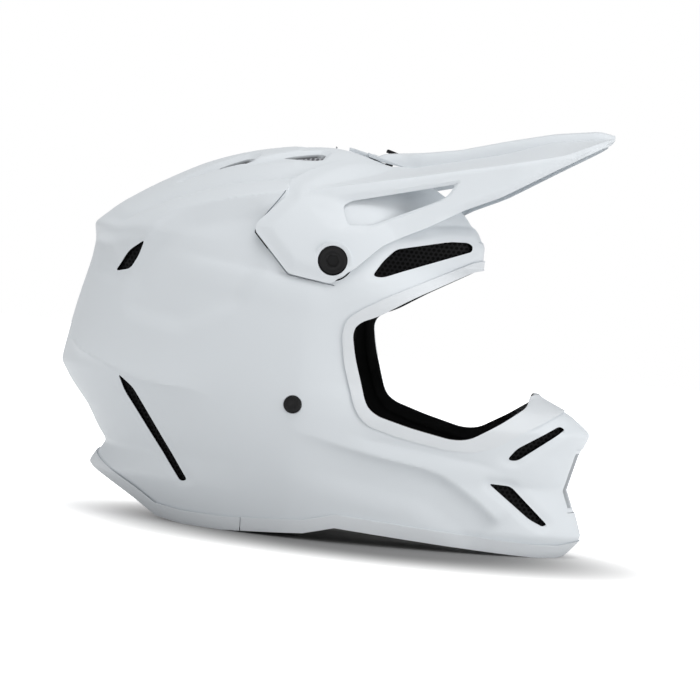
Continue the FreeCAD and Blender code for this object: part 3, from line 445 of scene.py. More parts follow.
# folds: a line, the height of its edge, how fast that fades above and below, and the dip (with a
# minus the bulge) that follows on each side, with the distance to its deepest place
folds = (
    dict(line=((-137, 158), (-131, 163), (-124, 172), (-119.5, 180), (-115, 185.5), (-109.6, 191),
               (-100.5, 197.4), (-88, 202), (-69, 208), (-50, 212.6), (-20, 220), (20, 229)),
         edge=3.8, above=10, below=5, dipAbove=(0, 10), dipBelow=(0.8, 12), start=8, end=14),
    dict(line=((-158, 188), (-141, 190), (-116, 204), (-91, 214.6), (-72, 221), (-53, 225.5),
               (-28, 229.5), (6, 231)),
         edge=-2.4, above=7, below=6, dipAbove=(-1.3, 11), dipBelow=(-1.5, 9), start=18, end=24),
    dict(line=((-112, 177), (-90, 174.5), (-57, 171.2), (-26, 167.5), (10, 163)),
         edge=-1.3, above=5, below=3.2, dipAbove=(0.4, 12), dipBelow=(-1.0, 9), start=34, end=22),
    dict(line=((-172, 112), (-154.5, 103), (-139, 98), (-128, 94), (-110, 90.5), (-80, 88.5), (-60, 84)),
         edge=3.6, above=13, below=5, dipAbove=(0, 10), dipBelow=(0.8, 10), start=22, end=44),
    dict(line=((-24, 73.5), (-17, 72.6), (0, 67.4), (22, 62.6), (44, 58.3), (60, 55.6), (72, 53.6),
               (83, 50), (96, 42), (110, 32.6), (122, 22.4), (125, 19.5)),
         edge=1.8, above=16, below=5, dipAbove=(0, 10), dipBelow=(2.7, 11), start=70, end=8),
    dict(line=((20, 72), (37, 68.6), (62, 65.8), (88, 62), (107, 59), (126, 54)),
         edge=-1.1, above=3.5, below=5, dipAbove=(0, 10), dipBelow=(-0.6, 9), start=24, end=24),
    dict(line=((118, 47.5), (126, 46.4), (140, 45), (152, 44.5), (162, 46)),
         edge=-0.8, above=8, below=6, dipAbove=(-0.5, 10), dipBelow=(-0.6, 9), start=8, end=8),
    dict(line=((36, 202), (58, 207), (76, 210), (92, 210)),
         edge=-1.2, above=6, below=8, dipAbove=(0, 10), dipBelow=(-1.6, 9), start=16, end=10),
)
# hollows round an outline: depth, and how far the surface takes to fall to it
hollows = (
    dict(outline=((-152, 172), (-124, 179), (-129, 168), (-133, 159), (-141, 156), (-152, 160)),
         depth=2.7, slope=8),
    dict(outline=((-120, 158), (-110, 176), (-88, 189), (-52, 199), (-44, 186), (-60, 152), (-92, 134),
                  (-120, 138)), depth=2.3, slope=14),
    dict(outline=vents["rear_slot"], depth=1.0, slope=5),
    dict(outline=vents["chin_vent_upper"], depth=1.2, slope=6),
    dict(outline=vents["chin_vent_lower"], depth=1.2, slope=6),
    dict(outline=vents["brow_vent"], depth=0.7, slope=4),
)
deepest = -2.8


# Distance up the surface: z below the ears, and near the top the square root of what is left
def levelOf(z):
    f = shellForm
    high = f["topZ"] - f["earZ"]
    w = np.sqrt(np.clip((f["topZ"] - z) / high, 0, 1))
    return np.where(z > f["earZ"], f["earZ"] + 2 * high * (1 - w), z)


def heightOf(level):
    f = shellForm
    high = f["topZ"] - f["earZ"]
    w = np.clip(1 - (level - f["earZ"]) / (2 * high), 0, 1)
    return np.where(level > f["earZ"], f["topZ"] - high * w * w, level)


# A running average with a bell weight, the ends held
def softened(values, sigma):
    reach = int(4 * sigma)
    weight = np.exp(-0.5 * (np.arange(-reach, reach + 1) / sigma) ** 2)
    before, after = 2 * values[0] - values[reach:0:-1], 2 * values[-1] - values[-2:-reach - 2:-1]
    padded = np.concatenate([before, values, after])
    return np.convolve(padded, weight / weight.sum(), mode="valid")


# Rear and front ends for each level, smooth except at the corners of the side view
def makeProfiles():
    f = shellForm
    rows = np.array(f["outline"] + ((f["topZ"], f["apexX"], f["apexX"]),), dtype=float)
    step = 0.5
    levels = np.arange(-8, levelOf(np.array(f["topZ"])) + step / 2, step)
    z = heightOf(levels)
    ends = []
    for column, calm in ((1, ((106, 176), (203, 260), (50, 64))), (2, ((104, 178), (200, 260)))):
        raw = np.interp(levels, levelOf(rows[:, 0]), rows[:, column])
        fine, broad = softened(raw, 1.6 / step), softened(raw, 9.0 / step)
        share = sum(smoothStep(a - 4, a + 8, z) * (1 - smoothStep(b - 8, b + 4, z)) for a, b in calm)
        ends.append(fine + (broad - fine) * np.clip(share, 0, 1))
    return levels, ends[0], ends[1]


levelTable, rearTable, frontTable = makeProfiles()


# Front or rear end of the rings at a level
def endOf(level, forward):
    return np.where(forward, np.interp(level, levelTable, frontTable), np.interp(level, levelTable, rearTable))


# Superellipse rings: turn 0 at the right ear, 90 degrees at the front, 180 at the left ear
def basePoint(turn, level):
    f = shellForm
    z = heightOf(level)
    ahead = np.sin(turn)
    share = np.minimum(np.abs(ahead), 1.0)
    end = endOf(level, ahead >= 0)
    low = f["halfWidth"] * (1 - 0.21 * ((f["earZ"] - z) / f["earZ"]) ** 2)
    up = np.clip((z - f["earZ"]) / (f["topZ"] - f["earZ"]), 0, 1)
    half = np.where(z < f["earZ"], low, f["halfWidth"] * (1 - up ** 2.7) ** (1 / 2.7))
    crown = smoothStep(95, 180, z)
    taper, outer, root = 0.7 * (1 - crown), 10 * (1 - crown) + 2.3 * crown, 2 * (1 - crown) + 2.3 * crown
    front = (1 - taper * share ** 1.5) * np.maximum(1 - share ** outer, 0) ** (1 / root)
    rear = np.maximum(1 - share ** 2.3, 0) ** (1 / 2.3)
    y = half * np.where(ahead >= 0, front, rear) * -np.sign(np.cos(turn))
    return np.stack([f["earX"] + share * (end - f["earX"]), y, z], axis=-1)


# How far the surface stands out from the plain rings, from the folds and the hollows
def relief(x, y, z):
    total = np.zeros(x.shape)
    for fold in folds:
        gap, side, along, run = lineDistance(x, z, fold["line"])
        s = gap * side
        fade = smoothStep(0, fold["start"], along) * (1 - smoothStep(run - fold["end"], run, along))
        for sign, side in ((1, "above"), (-1, "below")):
            t = np.maximum(sign * s, 0)
            dip, reach = fold["dipAbove" if sign > 0 else "dipBelow"]
            calm = 1 - smoothStep(1.6 * reach, 3.2 * reach, t)
            shape = fold["edge"] * np.exp(-t / fold[side]) - dip * t / reach * np.exp(1 - t / reach) * calm
            total += np.where(sign * s > 0, shape, 0) * fade
    for hollow in hollows:
        gap = outlineDistance(x, z, hollow["outline"])
        total -= hollow["depth"] * (1 - smoothStep(0, hollow["slope"], gap))
    for outline in crownScoops:
        gap = outlineDistance(x, np.abs(y), outline)
        total -= 3.0 * (1 - smoothStep(-1, 5, gap)) * (z > 200)
    under = outlineDistance(x, z, visorSide)
    share = np.where(z > 206, smoothStep(-3.5, -0.5, under), smoothStep(1.0, 6.0, under))
    total = np.where(total > 0.5, 0.5 + (total - 0.5) * share, total)
    total -= tongueSeat["depth"] * (1 - smoothStep(tongueSeat["half"], tongueSeat["half"] + 8, np.abs(y))) \
        * smoothStep(tongueSeat["rear"], tongueSeat["rear"] + 7, x) * (z > 200)
    return deepest + np.logaddexp(0, (total - deepest) / 0.4) * 0.4


# Turns and levels of a grid: even steps round the helmet, finer toward the crown
def shellGrid(columns, lower, upper):
    turns = np.linspace(0, 2 * np.pi, columns, endpoint=False) + np.pi / columns
    top = levelOf(np.array(shellForm["topZ"]))
    rise = 1 - (1 - np.linspace(0, 1, upper + 1)[:-1]) ** 1.15
    levels = np.concatenate([np.linspace(-8, 110, lower, endpoint=False), 110 + (top - 110) * rise])
    return np.meshgrid(levels, turns, indexing="ij")


innerSlack = 1.2  # an inner wall follows only what dips deeper than this


# Rings moved along their normals by the relief and an offset
def shellPoints(level, turn, offset, sink=False):
    base = basePoint(turn, level)
    around = np.roll(base, -1, axis=1) - np.roll(base, 1, axis=1)
    upward = np.gradient(base, axis=0)
    normal = np.cross(around, upward)
    size = np.linalg.norm(normal, axis=-1, keepdims=True)
    normal = normal / np.maximum(size, 1e-9)
    raised = relief(base[..., 0], base[..., 1], base[..., 2])
    shift = offset + (np.minimum(raised + innerSlack, 0) if sink else raised)
    return base + normal * shift[..., None]


# The grid as one closed skin, with a fan at the top and at the bottom
def closedSurface(columns, lower, upper, offset, sink=False, inward=False):
    level, turn = shellGrid(columns, lower, upper)
    points = shellPoints(level, turn, offset, sink)
    rows = points.shape[0]
    flat = points.reshape(-1, 3)
    top, bottom = points[-1].mean(axis=0), points[0].mean(axis=0)
    top[2] = shellForm["topZ"] + offset
    flat = np.concatenate([flat, [bottom], [top]])
    faces = gridFaces(rows, columns, True).tolist()
    ring = np.arange(columns)
    last = (rows - 1) * columns
    after = (ring + 1) % columns
    peak, foot = np.full(columns, len(flat) - 1), np.full(columns, len(flat) - 2)
    faces += np.stack([last + ring, last + after, peak], axis=1).tolist()
    faces += np.stack([after, ring, foot], axis=1).tolist()
    if inward:
        faces = [face[::-1] for face in faces]
    return flat, faces


# A hollow closed solid between two offsets of the shell's surface
def layer(name, outer, inner, spec, sink=False):
    counts = [spec[key] for key in ("columns", "lower", "upper")]
    a, facesA = closedSurface(*counts, outer)
    b, facesB = closedSurface(*(count // 2 for count in counts), inner, sink=sink, inward=True)
    facesB = [[index + len(a) for index in face] for face in facesB]
    return newObject(name, np.concatenate([a, b]), facesA + facesB)


print("stage: surface functions")


# A group with a vector and named numbers going in, and named numbers coming out
def makeGroup(name, numbers, outputs):
    tree = bpy.data.node_groups.new(name, "ShaderNodeTree")
    tree.interface.new_socket("Vector", in_out="INPUT", socket_type="NodeSocketVector")
    for label, value in numbers.items():
        socket = tree.interface.new_socket(label, in_out="INPUT", socket_type="NodeSocketFloat")
        socket.default_value = value
    for label in outputs:
        tree.interface.new_socket(label, in_out="OUTPUT", socket_type="NodeSocketFloat")
    return tree, tree.nodes.new("NodeGroupInput"), tree.nodes.new("NodeGroupOutput")


def noiseNode(tree, vector, scale, detail=2.0):
    node = tree.nodes.new("ShaderNodeTexNoise")
    for label, value in (("Vector", vector), ("Scale", scale), ("Detail", detail)):
        feed(tree, node.inputs[label], value)
    return node.outputs["Fac"]


# Two noises: a fine one for the moulded grain, a broad one for slow changes of tone
def makeGrainGroup():
    tree, start, end = makeGroup("mouldGrain", dict(Grain=2200.0, Cloud=14.0), ("Height", "Tone"))
    at = start.outputs
    feed(tree, end.inputs["Height"], noiseNode(tree, at["Vector"], at["Grain"], 3.0))
    feed(tree, end.inputs["Tone"], noiseNode(tree, at["Vector"], at["Cloud"], 4.0))
    return tree


honeycomb = dict(squeeze=(1.0, 0.57735, 0.0), stretch=(1.0, 1.73205, 0.0))  # by the root of three


# Round holes on a honeycomb: the nearer centre of two square grids set half a step apart
def makeHoleGroup():
    tree, start, end = makeGroup("honeycombHoles", dict(Pitch=0.0024, Radius=0.34), ("Hole", "Depth"))
    turned = tree.nodes.new("ShaderNodeMapping")
    tree.links.new(start.outputs["Vector"], turned.inputs["Vector"])
    turned.inputs["Rotation"].default_value = (math.radians(90), 0, 0)
    inverse = mathNode(tree, "DIVIDE", 1.0, start.outputs["Pitch"])
    scaled = vectorNode(tree, "SCALE", turned.outputs["Vector"], scale=inverse)
    scaled = vectorNode(tree, "MULTIPLY", scaled, honeycomb["squeeze"])
    gaps = []
    for shift in ((0.0, 0.0, 0.0), (0.5, 0.5, 0.0)):
        part = vectorNode(tree, "FRACTION", vectorNode(tree, "ADD", scaled, shift))
        part = vectorNode(tree, "SUBTRACT", part, (0.5, 0.5, 0.0))
        part = vectorNode(tree, "MULTIPLY", part, honeycomb["stretch"])
        gaps.append(vectorNode(tree, "LENGTH", part))
    rim = mathNode(tree, "SUBTRACT", start.outputs["Radius"], mathNode(tree, "MINIMUM", *gaps))
    hole = mathNode(tree, "MULTIPLY", rim, 14.0)  # how sharp the rim of a hole is
    hole = mathNode(tree, "MINIMUM", mathNode(tree, "MAXIMUM", hole, 0.0), 1.0)
    tree.links.new(hole, end.inputs["Hole"])
    tree.links.new(mathNode(tree, "SUBTRACT", 1.0, hole), end.inputs["Depth"])
    return tree


# Two crossed waves whose product rises and falls as threads do, roughened by a noise
def makeWeaveGroup():
    tree, start, end = makeGroup("threadWeave", dict(Threads=900.0), ("Height", "Tone"))
    spread = vectorNode(tree, "SCALE", start.outputs["Vector"], scale=start.outputs["Threads"])
    split = tree.nodes.new("ShaderNodeSeparateXYZ")
    tree.links.new(spread, split.inputs[0])
    a, b, c = (mathNode(tree, "SINE", mathNode(tree, "MULTIPLY", part, math.pi)) for part in split.outputs)
    cross = mathNode(tree, "MULTIPLY", a, b)
    cross = mathNode(tree, "ADD", mathNode(tree, "ABSOLUTE", cross), mathNode(tree, "ABSOLUTE", c))
    fuzz = noiseNode(tree, spread, 1.7, 2.0)
    tree.links.new(mathNode(tree, "MULTIPLY", cross, fuzz), end.inputs["Height"])
    tree.links.new(fuzz, end.inputs["Tone"])
    return tree


# Rounded cells pressed against each other, as moulded foam beads are
def makeBeadGroup():
    tree, start, end = makeGroup("foamBeads", dict(Beads=330.0), ("Height", "Tone"))
    cell = tree.nodes.new("ShaderNodeTexVoronoi")
    tree.links.new(start.outputs["Vector"], cell.inputs["Vector"])
    tree.links.new(start.outputs["Beads"], cell.inputs["Scale"])
    tree.links.new(mathNode(tree, "SUBTRACT", 1.0, cell.outputs["Distance"]), end.inputs["Height"])
    tone = tree.nodes.new("ShaderNodeSeparateColor")
    tree.links.new(cell.outputs["Color"], tone.inputs[0])
    tree.links.new(tone.outputs[0], end.inputs["Tone"])
    return tree


effects = dict(grain=makeGrainGroup(), holes=makeHoleGroup(), weave=makeWeaveGroup(), beads=makeBeadGroup())


def addEffect(tree, name, vector, **values):
    node = tree.nodes.new("ShaderNodeGroup")
    node.node_tree = effects[name]
    tree.links.new(vector, node.inputs["Vector"])
    for label, number in values.items():
        node.inputs[label].default_value = number
    return node.outputs


# painted shade: the near-black colour laid on walls that face into the head, which lie in shade inside the
# helmet
paintedInsideShade = (0.016, 0.016, 0.0165)
finishes = dict(
    shellWhite=dict(dark=(0.64, 0.675, 0.705), light=(0.67, 0.705, 0.735), roughness=(0.5, 0.58), bump=0.10,
                    depth=0.0001, specular=0.35, shade=paintedInsideShade, effect="grain", Grain=2600.0, Cloud=9.0),
    trimWhite=dict(dark=(0.63, 0.66, 0.685), light=(0.68, 0.705, 0.73), roughness=(0.6, 0.7), bump=0.2,
                   depth=0.0001, specular=0.3, shade=paintedInsideShade, effect="grain", Grain=1500.0, Cloud=30.0),
    ventBlack=dict(dark=(0.0045, 0.0045, 0.005), light=(0.001, 0.001, 0.001), roughness=(0.6, 0.9), bump=0.9,
                   depth=0.0006, specular=0.06, effect="holes", Pitch=0.0030, Radius=0.36),
    # painted shade: the crown vent inserts are white, painted grey for the shade that falls in their recess,
    # their holes darker still
    ventWhitePaintedShade=dict(dark=(0.34, 0.35, 0.37), light=(0.10, 0.10, 0.11), roughness=(0.6, 0.8), bump=0.5,
                  depth=0.0004, specular=0.3, effect="holes", Pitch=0.0030, Radius=0.36),
    plasticBlack=dict(dark=(0.004, 0.004, 0.0045), light=(0.007, 0.007, 0.0075), roughness=(0.5, 0.62),
                      bump=0.25, depth=0.0001, specular=0.2, effect="grain", Grain=2400.0, Cloud=40.0),
    rubberBlack=dict(dark=(0.012, 0.012, 0.012), light=(0.02, 0.02, 0.02), roughness=(0.7, 0.8), bump=0.2,
                     depth=0.0001, effect="grain", Grain=1800.0),
    steelPlated=dict(dark=(0.50, 0.50, 0.51), light=(0.62, 0.62, 0.63), metallic=1.0, roughness=(0.25, 0.36),
                     bump=0.08, depth=0.0001, effect="grain", Grain=1600.0, Cloud=120.0),
    foamCharcoal=dict(dark=(0.004, 0.004, 0.0045), light=(0.009, 0.009, 0.0095), specular=0.02,
                      roughness=(0.75, 0.9), bump=0.7, depth=0.0007, effect="beads", Beads=300.0),
    linerCloth=dict(dark=(0.0045, 0.0045, 0.005), light=(0.0015, 0.0015, 0.0015), specular=0.04,
                    roughness=(0.85, 0.95), bump=0.7, depth=0.0006, effect="holes", Pitch=0.0042, Radius=0.24),
    linerKnit=dict(dark=(0.003, 0.003, 0.0033), light=(0.008, 0.008, 0.0085), specular=0.04,
                   roughness=(0.85, 0.95), bump=0.6, depth=0.0005, effect="beads", Beads=700.0),
    webbingCloth=dict(dark=(0.010, 0.010, 0.011), light=(0.026, 0.026, 0.028), coords="UV", sheen=0.1,
                      roughness=(0.75, 0.9), bump=0.9, depth=0.0005, effect="weave", Threads=850.0),
)
# a fine grain breaks up the roughness of every finish that isn't itself a grain
fineGrain = dict(Grain=3000.0, Cloud=40.0)
fineGrainShare = 0.06
sheenRoughness = 0.5


# Two tones mixed by the effect's tone, a roughness that follows it and a bump from its height
def makeMaterial(name, spec):
    material = bpy.data.materials.new(name)
    material.use_nodes = True
    tree = material.node_tree
    shader = tree.nodes["Principled BSDF"]
    vector = tree.nodes.new("ShaderNodeTexCoord").outputs[spec.get("coords", "Object")]
    effect = spec["effect"]
    values = {label: number for label, number in spec.items() if label[0].isupper()}
    out = addEffect(tree, effect, vector, **values)
    tone, height = (out["Hole"], out["Depth"]) if effect == "holes" else (out["Tone"], out["Height"])
    color = mixColor(tree, tone, spec["dark"], spec["light"])
    rough = mapRange(tree, tone, 0.0, 1.0, *spec["roughness"])
    if effect != "grain":
        extra = addEffect(tree, "grain", vector, **fineGrain)
        rough = mathNode(tree, "ADD", rough, mathNode(tree, "MULTIPLY", extra["Tone"], fineGrainShare))
    # painted shade: walls that the shade attribute marks as facing into the head turn near-black
    if "shade" in spec:
        mask = tree.nodes.new("ShaderNodeAttribute")
        mask.attribute_name = "shade"
        color = mixColor(tree, mask.outputs["Fac"], color, spec["shade"])
    feed(tree, shader.inputs["Base Color"], color)
    feed(tree, shader.inputs["Roughness"], rough)
    bump = tree.nodes.new("ShaderNodeBump")
    bump.inputs["Strength"].default_value = spec["bump"]
    bump.inputs["Distance"].default_value = spec["depth"]
    feed(tree, bump.inputs["Height"], height)
    feed(tree, shader.inputs["Normal"], bump.outputs["Normal"])
    shader.inputs["Metallic"].default_value = spec.get("metallic", 0.0)
    shader.inputs["Specular IOR Level"].default_value = spec.get("specular", 0.5)
    if "sheen" in spec:
        shader.inputs["Sheen Weight"].default_value = spec["sheen"]
        shader.inputs["Sheen Roughness"].default_value = sheenRoughness
    return material


materials = {name: makeMaterial(name, spec) for name, spec in finishes.items()}
print("stage: materials")


# a groove along the rear edge of the visor's side, as far as its lower corner
panelSeam = grown(visorSide, 0.5)[1:6].tolist() + [(4.5, 163.6)]
shellPiece = dict(seamWidth=0.8, seamDepth=1.6, columns=376, lower=98, upper=136, openingGrow=2.5,
                  cornerRadius=3.0, baseLift=2.5, mouthHalf=17.0, mouthLow=30.0, mouthHigh=72.0)
pivot = dict(x=1.8, z=179.1, pocket=13.1, sunk=4.0, screwSunk=0.7)
rivetPlace = dict(x=-13.2, z=86.2, seat=5.9, sunk=1.2, screwSunk=0.7)


def circle(x, z, radius, steps=48):
    a = np.linspace(0, 2 * np.pi, steps, endpoint=False)
    return np.stack([x + radius * np.cos(a), z + radius * np.sin(a)], axis=1)


# Turn and level of a place of the side view, with places past the ends on the middle line
def turnAt(x, z):
    x, z = np.broadcast_arrays(np.asarray(x, float), np.asarray(z, float))
    level, ear = levelOf(z), shellForm["earX"]
    share = np.clip((x - ear) / (endOf(level, x >= ear) - ear), 0, 1)
    return np.where(x >= ear, 1, -1) * np.arcsin(share), level


# Half width of the plain rings at a place of the side view
def baseHalf(x, z):
    return -basePoint(*turnAt(x, z))[..., 1]


# Height of the plain rings over a place of the plan, found by halving
def baseTop(x, y):
    x, y = np.broadcast_arrays(np.asarray(x, float), np.abs(np.asarray(y, float)))
    low, high = np.full(x.shape, shellForm["earZ"]), np.full(x.shape, shellForm["topZ"])
    for _ in range(26):
        middle = (low + high) / 2
        inside = baseHalf(x, middle) > y
        low, high = np.where(inside, middle, low), np.where(inside, high, middle)
    return low


# Points on the finished surface at places of the side view, and the normals there
def onShell(x, z, side, offset):
    turn, level = turnAt(x, z)
    point = basePoint(turn, level)
    small = 0.004
    normal = np.cross(basePoint(turn + small, level) - basePoint(turn - small, level),
                      basePoint(turn, level + small * 100) - basePoint(turn, level - small * 100))
    normal /= np.maximum(np.linalg.norm(normal, axis=-1, keepdims=True), 1e-9)
    raised = relief(point[..., 0], point[..., 1], point[..., 2])
    mirror = np.array([1.0, -side, 1.0])
    return (point + normal * (raised + offset)[..., None]) * mirror, normal * mirror


# Points a step apart along a line
def resampled(points, step):
    p = np.asarray(points, dtype=float)
    run = np.concatenate([[0], np.cumsum(np.linalg.norm(np.diff(p, axis=0), axis=1))])
    at = np.linspace(0, run[-1], max(int(run[-1] / step), 2) + 1)
    return np.stack([np.interp(at, run, p[:, k]) for k in range(p.shape[1])], axis=1)


# A square tube along a line of the side view, from above the surface down to a depth
def grooveTool(line, side, width, depth):
    p = resampled(line, 1.2)
    centre, normal = onShell(p[:, 0], p[:, 1], side, 0.0)
    step = np.gradient(centre, axis=0)
    across = np.cross(normal, step)
    across /= np.maximum(np.linalg.norm(across, axis=1, keepdims=True), 1e-9)
    corners = ((-0.5, -1), (0.5, -1), (0.5, 1), (-0.5, 1))
    loop = [centre + across * width * a + normal * (1.2 if b > 0 else -depth) for a, b in corners]
    points = np.stack(loop, axis=1)
    rows = len(points)
    faces = gridFaces(rows, 4, True).tolist() + [[3, 2, 1, 0], [(rows - 1) * 4 + k for k in range(4)]]
    tool = newObject("groove", points.reshape(-1, 3), faces, smooth=False)
    orient(tool)
    return tool


pivotY = float(baseHalf(pivot["x"], pivot["z"]))
rivetY = float(baseHalf(rivetPlace["x"], rivetPlace["z"]))


# Everything under the base line raised by a distance
def belowBase(lift):
    return through([(x, z + lift) for x, z in baseLine] + underGround)


def boxTool(low, high):
    x0, y0, z0 = low
    x1, y1, z1 = high
    return prism(((x0, z0), (x1, z0), (x1, z1), (x0, z1)), y0, y1)


def makeShell(spec):
    shell = layer("outerShell", 0.0, -shellForm["wall"], spec, sink=True)
    radius = spec["cornerRadius"]
    tools = [belowBase(spec["baseLift"]), through(roundedOutline(grown(eyeport, spec["openingGrow"]), 5))]
    tools += [through(roundedOutline(outline, radius)) for outline in vents.values()]
    for outline in crownVents.values():
        for side in (-1, 1):
            tools.append(prism(roundedOutline([(x, side * y) for x, y in outline], radius), *farTop, axis="z"))
    half = spec["mouthHalf"]
    tools.append(boxTool((110, -half, spec["mouthLow"]), (240, half, spec["mouthHigh"])))
    for side in (-1, 1):
        for place, radius, inner in ((pivot, pivot["pocket"], pivotY - pivot["sunk"]),
                                     (rivetPlace, rivetPlace["seat"], rivetY - rivetPlace["sunk"])):
            tools.append(through(circle(place["x"], place["z"], radius), side, inner))
    carve(shell, tools)
    carve(shell, [grooveTool(panelSeam, side, spec["seamWidth"], spec["seamDepth"]) for side in (-1, 1)])
    finishEdges(shell, 30)
    paintInsideShade(shell)
    return dress(shell, "shellWhite", "shell", shellBody, "outer_shell")


makeShell(shellPiece)
print("stage: outer shell")


trimPiece = dict(columns=360, lower=80, upper=110, proud=1.2, inner=-5.0, bevel=0.7, corner=6, baseDepth=9.0,
                 split=-40.0, gap=0.3)


def makeEyeportTrim(spec):
    trim = layer("eyeportTrim", spec["proud"], spec["inner"], spec)
    carve(trim, [through(roundedOutline(trimEdge, spec["corner"]))], "INTERSECT")
    carve(trim, [through(roundedOutline(eyeport, spec["corner"]), outer=farSide + 1)])
    finishEdges(trim, 35, spec["bevel"])
    paintInsideShade(trim)
    return dress(trim, "trimWhite", "trim", shellBody, "eyeport_trim")


# The skin between two lifts of the base line, less what lies between low and high along X
def makeBaseTrim(name, node, spec, low, high):
    trim = layer(name, spec["proud"], spec["inner"], spec)
    line = [(x, z + spec["baseDepth"]) for x, z in baseLine]
    carve(trim, [through(line + underGround)], "INTERSECT")
    carve(trim, [belowBase(0.0), boxTool((low, -farSide - 1, -70), (high, farSide + 1, 90))])
    finishEdges(trim, 35, spec["bevel"])
    return dress(trim, "trimWhite", "trim", shellBody, node)


makeEyeportTrim(trimPiece)
makeBaseTrim("baseTrimRear", "base_trim_rear", trimPiece, trimPiece["split"] - trimPiece["gap"], 260)
makeBaseTrim("baseTrimFront", "base_trim_front", trimPiece, -260, trimPiece["split"] + trimPiece["gap"])
print("stage: trims")

ventPiece = dict(columns=240, lower=60, upper=80, outer=-2.0, inner=-3.3, inset=0.15)


# The part of a thin skin inside an outline: on one side, or on both sides of the crown
def makeVent(name, node, outline, spec, material, side=0):
    mesh = layer(name, spec["outer"], spec["inner"], spec)
    shape = grown(roundedOutline(outline, shellPiece["cornerRadius"]), -spec["inset"])
    if side:
        carve(mesh, [through(shape, side, 1.0)], "INTERSECT")
    else:
        other = newObject("other", meshPoints(mesh), meshFaces(mesh))
        carve(mesh, [prism(shape, *farTop, axis="z")], "INTERSECT")
        carve(other, [prism(shape * (1, -1), *farTop, axis="z")], "INTERSECT")
        joinObjects(mesh, other)
    finishEdges(mesh, 35)
    return dress(mesh, material, "mesh", shellBody, node)


for ventName, outline in vents.items():
    for sideName, side in (("right", -1), ("left", 1)):
        makeVent(f"{ventName}Mesh_{sideName}", f"{ventName}_{sideName}", outline, ventPiece, "ventBlack", side)
# crown vents: white inserts with painted shade in their recess
for ventName, outline in crownVents.items():
    makeVent(ventName + "Mesh", ventName, outline, ventPiece, "ventWhitePaintedShade")
print("stage: vents")


visorForm = dict(
    reach=169.6, skin=2.2, gap=0.8, lean=3.0, crease=0.9, chamfer=(3.0, 4.2), tilts=(-2.0, 0.0, 3.0),
    stations=190, bossRadius=12.1, seatRadius=9.5, screwRadius=3.05,
    tongueCut=((-260, -21, 110), (-2, 21, 400)),
    behind=((-70, 20), (10, 20), (12, 30.5), (38, 30.5), (-33, 92), (-70, 98)),
    slot=((-4.7, -2.8), (4.7, -2.8), (6.4, -2.2), (7.5, 0), (6.4, 2.2), (4.7, 2.8), (-4.7, 2.8), (-6.4, 2.2),
          (-7.5, 0), (-6.4, -2.2)),
    crestZ=((-52, 211), (-33, 216.7), (0, 225), (50, 236.5), (111, 252.5), (140, 260.5), (169.6, 275)),
    crestY=((-52, 105), (-33, 102.4), (0, 97.8), (50, 89), (111, 79), (150, 64), (169.6, 50)),
    lowZ=((-52, 186), (-25, 166), (8, 164), (16, 174), (45, 198), (80, 218.5), (136, 249.5), (169.6, 267)),
    lowY=((-52, 112), (-25, 121), (8, 122), (45, 102), (80, 90), (136, 72), (169.6, 53)),
    roofZ=((-52, 243), (0, 250), (38, 245), (44, 244.2), (100, 259), (131, 270.5), (169.6, 276.5)),
    spineZ=((-52, 243.5), (11, 243), (20, 250.6), (46, 254), (70, 258.5), (100, 267.5), (131, 275.8),
            (160, 280.6), (169.6, 278.6)),
    spineY=((-52, 26), (40, 26), (100, 20), (131, 15), (169.6, 11)),
    rearEdge=((-32.9, 216.7), (-49.5, 197.3), (-49.9, 193), (-25.1, 168), (2.7, 164.3)),
    roofEdge=((-33, 92), (38, 29)), recess=1.9,
    recessEdge=((-17, 211), (-16, 208), (-4, 197.5), (19, 198.5), (28, 203.3), (64, 223), (70, 228),
                (75, 237.5), (30, 226), (0, 219)),
)


# Half width that stays outside the shell at every tilt
def clearY(x, z):
    best = np.zeros(np.broadcast(x, z).shape)
    for tilt in np.radians(visorForm["tilts"]):
        dx, dz = x - pivot["x"], z - pivot["z"]
        best = np.maximum(best, baseHalf(pivot["x"] + dx * np.cos(tilt) - dz * np.sin(tilt),
                                         pivot["z"] + dx * np.sin(tilt) + dz * np.cos(tilt)))
    return best


def clearZ(x, y):
    best = np.zeros(np.broadcast(x, y).shape)
    top = baseTop(x, y)
    for tilt in np.radians(visorForm["tilts"]):
        moved = baseTop(x - tilt * (top - pivot["z"]), y) - tilt * (x - pivot["x"])
        best = np.maximum(best, moved)
    return best


